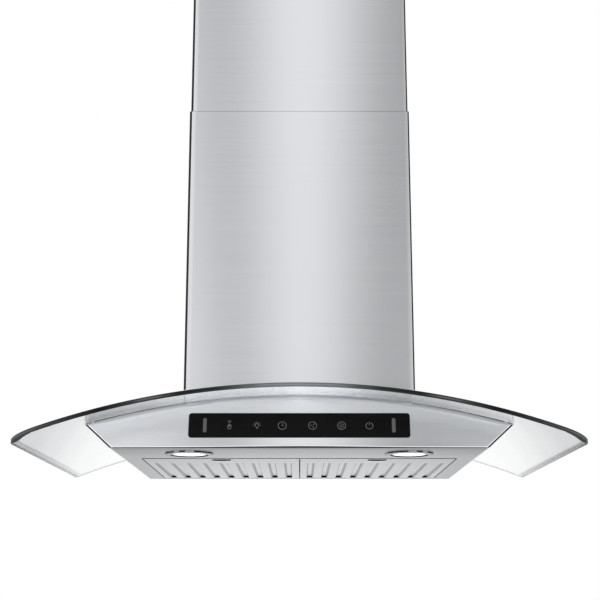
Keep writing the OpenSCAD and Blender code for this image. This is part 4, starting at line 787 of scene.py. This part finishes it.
symbols = {"places": (-0.111, -0.067, -0.027, 0.021, 0.067, 0.111), "line": 0.00075, "size": 0.0064,
           "drop": 0.0006, "proud": 0.00004, "depth": 0.0002}


def ringLine(radius, start=0.0, end=360.0, cx=0.0, cy=0.0):  # x with the cosine, y with the sine
    a = np.radians(np.linspace(start, end, 28))
    return np.column_stack([cx + radius * np.cos(a), cy + radius * np.sin(a)])


def barLine(x0, y0, x1, y1):  # straight from one point to another
    return np.linspace((x0, y0), (x1, y1), 3)


def fanLines(turns, lean):  # blades as short bent strokes about the hub
    t = np.linspace(0.18, 0.72, 9)
    bends = [2 * math.pi * k / turns + lean + 0.9 * t for k in range(turns)]
    return [ringLine(1.0)] + [np.column_stack([t * np.cos(bend), t * np.sin(bend)]) for bend in bends]


def rayLine(a):  # a short stroke outwards from the ring at that angle
    near, far = [(r * math.cos(a), 0.1 + r * math.sin(a)) for r in (0.68, 0.98)]
    return barLine(*near, *far)


# Simple symbols as lines in a unit circle: wave, light, clock, slow fan, fast fan, power
symbolLines = [
    [ringLine(0.42, 180, 360, 0.05, -0.45), barLine(-0.37, -0.45, -0.37, 0.0)]
    + [barLine(x, -0.3, x, top) for x, top in ((-0.2, 0.35), (0.02, 0.5), (0.24, 0.42), (0.47, 0.2))]
    + [ringLine(0.55, 55, 125, 0.05, 0.42), ringLine(0.8, 60, 120, 0.05, 0.42)],
    [ringLine(0.45, -55, 235, 0, 0.1), barLine(-0.25, -0.45, 0.25, -0.45), barLine(-0.2, -0.66, 0.2, -0.66)]
    + [rayLine(a) for a in np.radians([0, 45, 90, 135, 180])],
    [ringLine(1.0), barLine(0, 0, 0, 0.6), barLine(0, 0, 0.42, -0.1)],
    fanLines(3, 0.4),
    fanLines(5, 0.1),
    [ringLine(0.85, 115, 425, 0, -0.05), barLine(0, 0.1, 0, 0.98)],
]


# Quads that close a four-cornered tube of so many rows at both ends
def endCaps(rows):
    last = 4 * (rows - 1)
    return np.array([[3, 2, 1, 0], [last, last + 1, last + 2, last + 3]])


# A line made a thin flat ribbon: points half a line width to each side along its normal
def ribbon(line, centreX):
    line = line * symbols["size"]
    along = np.gradient(line, axis=0)
    along /= np.maximum(np.linalg.norm(along, axis=1, keepdims=True), nearZero)
    across = np.column_stack([-along[:, 1], along[:, 0]]) * symbols["line"] / 2
    low, high = touch["proud"] - symbols["depth"], touch["proud"] + symbols["proud"]
    grid = np.stack([
        onFace(centreX + plan[:, 0], middleUp - symbols["drop"] + plan[:, 1], out)
        for plan, out in ((line + across, low), (line + across, high),
                          (line - across, high), (line - across, low))
    ], 1)
    return grid, np.concatenate([gridQuads(grid, wrapColumns=True), endCaps(len(line))]), 0


parts = [ribbon(line, x) for lines, x in zip(symbolLines, symbols["places"]) for line in lines]
symbolPiece = meshPiece("touchSymbols", parts, [symbolInk], "hood", creaseDegrees=60)
print("touch panel")

lamp = {
    "lens": 0.0265, "shelf": 0.0302, "groove": 0.0311, "ring": 0.040, "neck": 0.033, "wall": 0.0015,
    "drop": 0.0026, "sheet": 0.0012, "round": 0.0003, "webWidth": 0.0028, "webInset": 0.0002, "webTop": 0.0001,
    # depths under the bottom plate: ring's inner rim, the rim's lower edge, shelf's inner and outer edge
    "rim": 0.0008, "rimFoot": 0.0013, "shelfInner": 0.0017, "shelfOuter": 0.0025, "edge": 0.0008,
    "edgeRise": 0.0005,
    # the lens: depth of its edge, how far it bulges, its collar and its back
    "domeEdge": 0.00105, "bulge": 0.00015, "collar": 0.0007, "play": 0.0001, "back": 0.0002, "core": 0.00001,
    "ringSteps": 96, "lensSteps": 72, "domeSteps": 14, "webSteps": 9,
    # where the ring's spacers are, in degrees round from the front towards the outer side
    "turn": {-1: -8.5, 1: 0.0},
    "webs": [(-80, -67), (-7, 13), (28.5, 43), (96, 110), (140, 155), (176, 194), (222, 240)],
}


# The ring's section turned round the lamp's axis, and spacers between ring and plate
def buildLamp(side):
    prefix = sideName[side]
    low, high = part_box(prefix + "_lamp_bezel")
    centre = ((low.x + high.x) / 2, (low.y + high.y) / 2, underside)
    lens, shelf, ring, neck, soft = lamp["lens"], lamp["shelf"], lamp["ring"], lamp["neck"], lamp["round"]
    bottom, seat = -lamp["drop"], -lamp["drop"] + lamp["sheet"]
    inner, top = neck - lamp["wall"], high.z - underside
    # finish 2 is painted shade in the groove round the lens and on the ring's hidden back
    section = [  # radius, height, finish of the face up to the next point
        (lens, -lamp["rim"], 0), (lens, -lamp["rimFoot"], 0), (shelf - soft, -lamp["shelfInner"], 2),
        (shelf, -lamp["shelfOuter"], 2), (lamp["groove"], bottom, 1), (ring - lamp["edge"], bottom, 1),
        (ring - soft, bottom + soft / 2, 1), (ring, bottom + lamp["edgeRise"], 1), (ring, seat - soft, 2),
        (ring - soft, seat, 2), (neck, seat, 2), (neck, top, 2), (inner, top, 2), (inner, -lamp["rim"], 2),
    ]
    count = lamp["ringSteps"]
    grid = turnedGrid([point[:2] for point in section], centre, count)
    parts = [tube(grid, np.repeat([point[2] for point in section], count))]
    inset = lamp["webInset"]
    r = ring - np.array([lamp["webWidth"], inset, inset, lamp["webWidth"]])
    z = np.array([seat - inset, seat - inset, -lamp["webTop"], -lamp["webTop"]])
    for start, end in lamp["webs"]:
        a = np.radians(np.linspace(start, end, lamp["webSteps"]) + lamp["turn"][side])[:, None]
        web = places(centre[0] + side * r * np.sin(a), centre[1] - r * np.cos(a), centre[2] + z)
        parts.append((web, np.concatenate([gridQuads(web, wrapColumns=True), endCaps(len(web))]), 1))
    bezel = meshPiece(prefix + "LampRing", parts, [polishedRing, steelFlat, paintedShadeBlack], "hood")
    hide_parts(prefix + "_lamp_bezel")
    lensLow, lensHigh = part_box(prefix + "_lamp_lens")
    rim = (lensHigh.x - lensLow.x) / 2
    collar, back = -lamp["collar"], lamp["back"]
    section = [((lens - soft) * s, -lamp["domeEdge"] - lamp["bulge"] * (1 - s ** 2))
               for s in np.linspace(nearPoint, 1, lamp["domeSteps"])]
    section += [(lens - lamp["play"], collar), (rim, collar), (rim, back), (lamp["core"], back)]
    grid = turnedGrid(section, centre, lamp["lensSteps"])
    piece = meshPiece(prefix + "LampLens", [tube(grid)], [lampGlow], "hood")
    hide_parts(prefix + "_lamp_lens")


buildLamp(-1)
buildLamp(1)
print("lamps")

louvre = {
    "count": 9, "pitch": 0.0286, "half": 0.00515, "shoulder": 0.0010, "rise": 0.0040, "setback": 0.073,
    "length": 0.286, "brightEnd": 0.066, "sheet": 0.0008, "hem": 0.0006, "hemWidth": 0.003, "edge": 0.0005,
    "slotFront": 0.0145, "slotRear": 0.0350, "slotHalf": 0.0165, "slotEdge": 0.0012, "bead": 0.0010,
    "beadLength": 0.026, "beadEdge": 0.0005, "beadRoom": 0.0001, "gapShift": 0.0009, "turnUp": 0.0006,
    "crown": 0.002, "steps": 27, "steepShare": 0.09, "frontEdge": 0.0003, "hemEnd": 0.0042, "mouth": 0.0006,
    "rearFold": 0.0015, "rearEdge": 0.0004,
}


# A sheet drawn as a height field: each louvre rises with its distance from its front end,
# times a soft step across its width; a hem hangs down along the front edge and a bead behind
# the finger slot; the faces of the rear mouths and of the finger slot are left out
def buildFilterFace(side):
    f = louvre
    prefix = sideName[side]
    low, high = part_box(prefix + "_filter_face")
    front, rear = low.y, high.y
    innerX, outerX = sorted((abs(low.x), abs(high.x)))
    middle = (innerX + outerX) / 2
    innerX -= f["gapShift"] if side < 0 else 0
    centres = middle + (np.arange(f["count"]) - (f["count"] - 1) / 2) * f["pitch"]
    soft = np.array([-1.0, -0.5, 0, 0.5, 1.0])
    across = np.concatenate([-f["half"] + soft * f["shoulder"], [-f["crown"], 0, f["crown"]],
                             f["half"] + soft * 2 * f["shoulder"]])
    slotLow, slotHigh = middle - f["slotHalf"], middle + f["slotHalf"]
    columns = np.concatenate([
        [innerX, innerX + f["edge"], outerX - f["edge"], outerX, slotLow, slotLow + f["slotEdge"],
         slotHigh - f["slotEdge"], slotHigh], (centres[:, None] + across).ravel(),
    ])
    x = np.unique(np.round(columns, 7))
    start, end = front + f["setback"], front + f["setback"] + f["length"]
    ramp = start + f["length"] * np.linspace(0, 1, f["steps"])
    beadRows = f["slotRear"] + np.array([0.0, f["beadEdge"], *(f["beadLength"] * np.array([0.3, 0.75, 1.0]))])
    frontRows = np.array([0, f["frontEdge"], f["hemWidth"], f["hemEnd"], f["slotFront"]])
    y = np.concatenate([front + frontRows, front + beadRows, ramp,
                        [end + f["mouth"], rear - f["rearFold"], rear - f["rearEdge"], rear]])
    # first rows of the bead behind the finger slot, of the louvres, and of the flat behind them
    beadStart, rampStart = len(frontRows), len(frontRows) + len(beadRows)
    step = rampStart + len(ramp)

    def fromLouvre(columns):  # distance from the nearest louvre's middle, and its shoulder's width
        away = columns - centres[np.argmin(np.abs(columns[:, None] - centres), axis=1)]
        return np.abs(away), f["shoulder"] * np.where(away > 0, 2, 1)

    away, shoulder = fromLouvre(x)
    raised = 1 - smoothStep(f["half"] - shoulder, f["half"] + shoulder, away)
    t = np.clip((y - start) / f["length"], 0, 1)
    along = f["rise"] * (0.5 * smoothStep(0, f["steepShare"], t) + 0.5 * t)
    along[:rampStart] = 0
    along[step:] = 0
    z = along[:, None] * raised
    border = np.ones(z.shape, bool)
    border[1:-1, 1:-1] = False
    z[border] += f["turnUp"]
    z[1:3] -= f["hem"]
    inBead = (x > slotLow + f["beadRoom"]) & (x < slotHigh - f["beadRoom"])
    z[beadStart + 1:beadStart + 4] -= f["bead"] * np.array([1.0, 1.0, 0.7])[:, None] * inBead
    grid = places(side * x, y[:, None], z + underside)
    midX, midY = (x[:-1] + x[1:]) / 2, (y[:-1] + y[1:]) / 2
    away, shoulder = fromLouvre(midX)
    slots = np.zeros((len(midY), len(midX)), int)
    inRamp = (midY > start) & (midY < end)
    # painted shade on the louvre shoulders, painted highlight on the louvre floors near their mouths
    slots[np.ix_(inRamp, np.abs(away - f["half"]) < shoulder)] = 1
    slots[np.ix_(inRamp & (midY > end - f["brightEnd"]), away < f["half"] - shoulder)] = 2
    slotColumn = (midX > slotLow) & (midX < slotHigh)
    # painted highlight on the bead's front, painted shade behind it
    slots[beadStart:beadStart + 2, slotColumn] = 2
    slots[beadStart + 3, slotColumn] = 1
    # painted shade along the front hem, at the rear edge and in the gap between the filters
    slots[[0, -2, -1]] = 3
    if side > 0:
        slots[:, 0] = 3
    keep = np.ones(slots.shape, bool)
    keep[step - 1, away < f["half"]] = False
    keep[np.ix_((midY > front + f["slotFront"]) & (midY < front + f["slotRear"]), slotColumn)] = False
    quads = gridQuads(grid)[keep.ravel()]
    if side > 0:
        quads = quads[:, ::-1]
    piece = meshPiece(prefix + "FilterFace", [(grid, quads, slots[keep])],
                      [steelPressed, steelShoulderShade, steelRampHighlight, paintedShadeBlack], "filter_" + prefix, outward=False)
    wall = piece.modifiers.new("wall", "SOLIDIFY")
    # the sheet's rims and inner faces get painted shade
    wall.thickness, wall.offset, wall.material_offset = f["sheet"], -1, 3
    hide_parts(prefix + "_filter_face")


buildFilterFace(-1)
buildFilterFace(1)
print("filters")

latchSpring = {"wire": 0.0004, "turns": 5, "perTurn": 20, "around": 8, "travel": 0.0062}


# A wire carried along a helix: sideways radius times the cosine of the turn, upwards radius
# times its sine, while the depth grows with the turn; the piece keeps a mesh of its own
def buildLatchSpring(side):
    prefix = sideName[side]
    low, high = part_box(prefix + "_latch_spring")
    middle, wire = (low + high) / 2, latchSpring["wire"]
    radius, length = (high.x - low.x) / 2 - wire, high.y - low.y
    a = np.linspace(0, 2 * math.pi * latchSpring["turns"], latchSpring["turns"] * latchSpring["perTurn"] + 1)
    outwards = np.column_stack([np.cos(a), 0 * a, np.sin(a)])
    path = radius * outwards + np.array([middle.x, 0, middle.z])
    path[:, 1] = low.y + wire + (length - 2 * wire) * a / a[-1]
    along = np.gradient(path, axis=0)
    across = np.cross(along / np.linalg.norm(along, axis=1, keepdims=True), outwards)
    around = latchSpring["around"]
    b = np.linspace(0, 2 * math.pi, around, endpoint=False)[None, :, None]
    grid = path[:, None] + wire * (np.cos(b) * outwards[:, None] + np.sin(b) * across[:, None])
    cap = np.array([[0, 1, 2, 3], [0, 3, 4, 7], [4, 5, 6, 7]])
    quads = np.concatenate([gridQuads(grid, wrapColumns=True), cap, cap[:, ::-1] + around * (len(a) - 1)])
    piece = meshPiece(prefix + "LatchSpring", [(grid, quads, 0)], [zincPlate], "filter_" + prefix)
    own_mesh(piece)
    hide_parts(prefix + "_latch_spring")


buildLatchSpring(-1)
buildLatchSpring(1)
print("latch springs")

viewpoint = {"place": (0.0011, -2.1427, -1.147), "tilt": 13.64, "lens": 72.3, "sensor": 36, "reach": 50}
camera = bpy.data.cameras.new("camera")
camera.lens, camera.sensor_width, camera.clip_end = viewpoint["lens"], viewpoint["sensor"], viewpoint["reach"]
view = addObject("camera", camera)
view.location = viewpoint["place"]
view.rotation_euler = (math.radians(90 + viewpoint["tilt"]), 0, 0)
bpy.context.scene.camera = view

# Each ramp is (low end, high end, brightest value, stops)
studio = {
    # sideways slope of a direction, and how bright the wall in front is there
    "front": (-0.16, 0.16, 1.1, [(-0.15, 0.9), (-0.125, 0.98), (-0.1, 1.02), (-0.0853, 0.8), (-0.0763, 0.64),
        (-0.0669, 0.52), (-0.0576, 0.45), (-0.0483, 0.5), (-0.0389, 0.61), (-0.0296, 0.77), (-0.0202, 0.93),
        (-0.0109, 1.04), (-0.0016, 1.09), (0.0078, 1.08), (0.0171, 1.01), (0.0265, 0.93), (0.0358, 0.77),
        (0.0451, 0.625), (0.0545, 0.5), (0.0638, 0.39), (0.0732, 0.365), (0.0825, 0.385), (0.0918, 0.41),
        (0.1115, 0.5), (0.13, 0.61), (0.15, 0.72)]),
    "around": (-180, 180, 1.0, [(-180, 0.85), (-150, 0.9), (-120, 0.8), (-95, 0.62), (-80, 0.72), (-60, 0.7),
        (-45, 1.0), (-25, 1.0), (-14, 0.92), (14, 0.78), (25, 1.0), (45, 1.0), (60, 0.7), (80, 0.7),
        (95, 0.6), (120, 0.78), (150, 0.88), (180, 0.85)]),
    # the same for what is overhead, and how much the glass dims or lifts the wall in front
    "overhead": (-0.25, 0.25, 1.0, [(-0.25, 0.5), (-0.16, 0.46), (-0.1, 0.4), (-0.05, 0.42), (0, 0.53),
        (0.05, 0.42), (0.083, 0.31), (0.116, 0.29), (0.15, 0.34), (0.25, 0.45)]),
    "veiled": (-0.25, 0.25, 3.0, [(-0.25, 1.3), (-0.09, 1.5), (-0.045, 2.6), (0, 2.2), (0.04, 2.8),
        (0.06, 1.6), (0.08, 0.8), (0.12, 0.8), (0.25, 1.0)]),
    # degrees above the horizon, and how bright the room behind the hood is there
    "behind": (-40, 0, 1.0, [(-40, 0.9), (-25, 0.6), (-17, 0.2), (-14, 0.15), (-13.2, 0.22), (-12.3, 0.5),
        (-11.7, 0.73), (-11, 0.92), (-10, 1.0), (-8, 0.95), (-5, 0.9), (0, 0.88)]),
    "behindMiddle": (-0.25, 0.25, 1.2, [(-0.25, 0.85), (-0.14, 0.87), (-0.09, 0.99), (-0.04, 1.06),
        (0.04, 1.06), (0.09, 0.99), (0.14, 0.87), (0.25, 0.85)]),
    # degrees to the side, and how bright the high part of the backdrop is through the glass
    "backdrop": (-12, 12, 1.0, [(-10.2, 1.0), (-10.0, 0.25), (-9.5, 0.4), (-7.6, 0.6), (-5.7, 0.9),
        (5.7, 0.58), (6.6, 0.63), (8.5, 0.8), (9.4, 0.9), (10.2, 1.0)]),
    # how the pattern in front widens with height: up to where, how fast and from which width
    "widening": (0.8, 0.83, 0.8),
    # between which values each part of the wall comes in: slope, heights, degrees or shares
    "close": (0.14, 0.17), "veilAhead": (0.2, 0.5), "veilHigh": (0.25, 0.4), "roofStart": (50, 125),
    "roofEnd": (140, 165), "under": (0.02, 0.3), "away": (0.6, 0.85), "low": (-2.0, 2.0),
    "twiceHigh": (0.45, 0.7), "backdropHigh": (7.55, 7.85), "through": (0.75, 0.9), "below": 0.95,
    "diffuse": 0.78, "doubled": 0.75,
}


# The surroundings as a colour for each direction: ramps over slope and angle, mixed by height and
# by the kind of ray that asks
def buildStudio():
    world = bpy.data.worlds.new("studio")
    bpy.context.scene.world = world
    world.use_nodes = True
    graph = Graph(world.node_tree)
    maths, times = graph.maths, graph.times

    def ramp(name, source):  # stops moved to 0 to 1, as shares of the brightest value
        low, high, top, stops = studio[name]
        stops = [((place - low) / (high - low), value / top) for place, value in stops]
        share = maths("DIVIDE", maths("SUBTRACT", source, low), high - low)
        return times(graph.colours(share, shades(white, *stops), "EASE"), top)

    def rest(share):
        return maths("SUBTRACT", 1, share)

    def mix(share, first, second):
        return maths("ADD", times(first, rest(share)), times(second, share))

    def between(name, source):
        return graph.spread(source, 0.0, 1.0, *studio[name], "SMOOTHSTEP")

    def degrees(value):
        return times(value, 180 / math.pi)

    x, y, z = graph.add("SeparateXYZ", {"Vector": graph.add("TexCoord").outputs["Generated"]}).outputs
    light = graph.add("LightPath").outputs
    ahead = times(y, -1)
    azimuth = degrees(maths("ARCTAN2", x, ahead))
    upright = maths("SQRT", maths("ADD", times(y, y), times(z, z)))
    aside = maths("DIVIDE", x, maths("MAXIMUM", upright, 0.001))
    limit, growth, start = studio["widening"]
    tall = maths("MULTIPLY_ADD", maths("MINIMUM", maths("MAXIMUM", z, 0.0), limit), growth, start)
    drawn = maths("DIVIDE", aside, tall)
    close = rest(between("close", maths("ABSOLUTE", drawn)))
    wall = mix(close, ramp("around", azimuth), ramp("front", drawn))
    veil = times(maths("GREATER_THAN", light["Transmission Depth"], 0.5),
                 times(between("veilAhead", ahead), rest(between("veilHigh", z))))
    wall = times(wall, mix(veil, 1.0, ramp("veiled", aside)))
    over = degrees(maths("ARCTAN2", z, ahead))  # 0 straight ahead, 90 overhead, 180 straight behind
    roof = times(between("roofStart", over), rest(between("roofEnd", over)))
    wall = mix(roof, wall, ramp("overhead", aside))
    wall = mix(between("under", times(z, -1)), wall, studio["below"])
    elevation = degrees(maths("ARCSINE", z))
    room = times(ramp("behind", elevation), ramp("behindMiddle", aside))
    away = between("away", y)
    wall = mix(times(away, between("low", times(elevation, -1))), wall, room)
    twice = times(maths("GREATER_THAN", light["Glossy Depth"], 1.5), between("twiceHigh", z))
    wall = times(wall, mix(twice, 1.0, studio["doubled"]))
    shown = mix(light["Is Glossy Ray"], studio["diffuse"], wall)
    sideways = degrees(maths("ARCTAN2", x, y))
    high = times(between("backdropHigh", elevation), away)
    backdrop = mix(high, 1.0, ramp("backdrop", sideways))
    shown = mix(times(light["Is Transmission Ray"], between("through", y)), shown, backdrop)
    shown = mix(light["Is Camera Ray"], shown, 1.0)
    background = graph.nodes["Background"]
    graph.link(shown, background.inputs["Color"])
    background.inputs["Strength"].default_value = 1.0


buildStudio()


# A square lamp turned from its place towards the target
def softBox(name, place, size, energy, target=(0, 0, -0.7)):
    light = bpy.data.lights.new(name, "AREA")
    light.size, light.energy = size, energy
    box = addObject(name, light)
    box.location = place
    box.rotation_euler = (Vector(target) - Vector(place)).to_track_quat("-Z", "Y").to_euler()
    box.visible_glossy = box.visible_transmission = False


softBox("keyLight", (-1.6, -2.4, 1.2), 1.4, 22)
softBox("fillLight", (2.2, -1.6, 0.2), 1.8, 8)

floorShape = {"height": -2.35, "radius": 3.2, "rings": 24, "around": 64, "fade": (0.9, 2.9)}


# A pale disc that fades out away from its middle; mirrored rays and rays from below pass it
def buildFloor():
    f = floorShape
    share = np.linspace(nearPoint, 1, f["rings"])
    grid = turnedGrid([(f["radius"] * s, 0.0) for s in share], (0, 0, f["height"]), f["around"])
    mesh = bpy.data.meshes.new("floor")
    mesh.from_pydata(grid.reshape(-1, 3).tolist(), [], gridQuads(grid, wrapColumns=True)[:, ::-1].tolist())
    floor = addObject("floor", mesh)
    finish = Finish("paleFloor", (0.9, 0.9, 0.9), 0.9)
    mottle = finish.noise(scale=9.0, detail=5.0)
    finish.tint(mottle, shades(white, (0.3, 0.89), (0.7, 0.91)))
    flat = finish.add("VectorMath", {0: finish.place, 1: (1, 1, 0)}, operation="MULTIPLY").outputs["Vector"]
    length = finish.add("VectorMath", {0: flat}, operation="LENGTH").outputs["Value"]
    below = finish.add("NewGeometry").outputs["Backfacing"]
    mirrored = finish.add("LightPath").outputs["Is Glossy Ray"]
    far = finish.spread(length, 0.0, 1.0, *f["fade"])
    finish.clear(finish.maths("MAXIMUM", finish.maths("MAXIMUM", far, below), mirrored))
    mesh.materials.append(finish.material)


buildFloor()
bpy.context.scene.view_settings.view_transform = "Standard"
print("camera, light and floor")
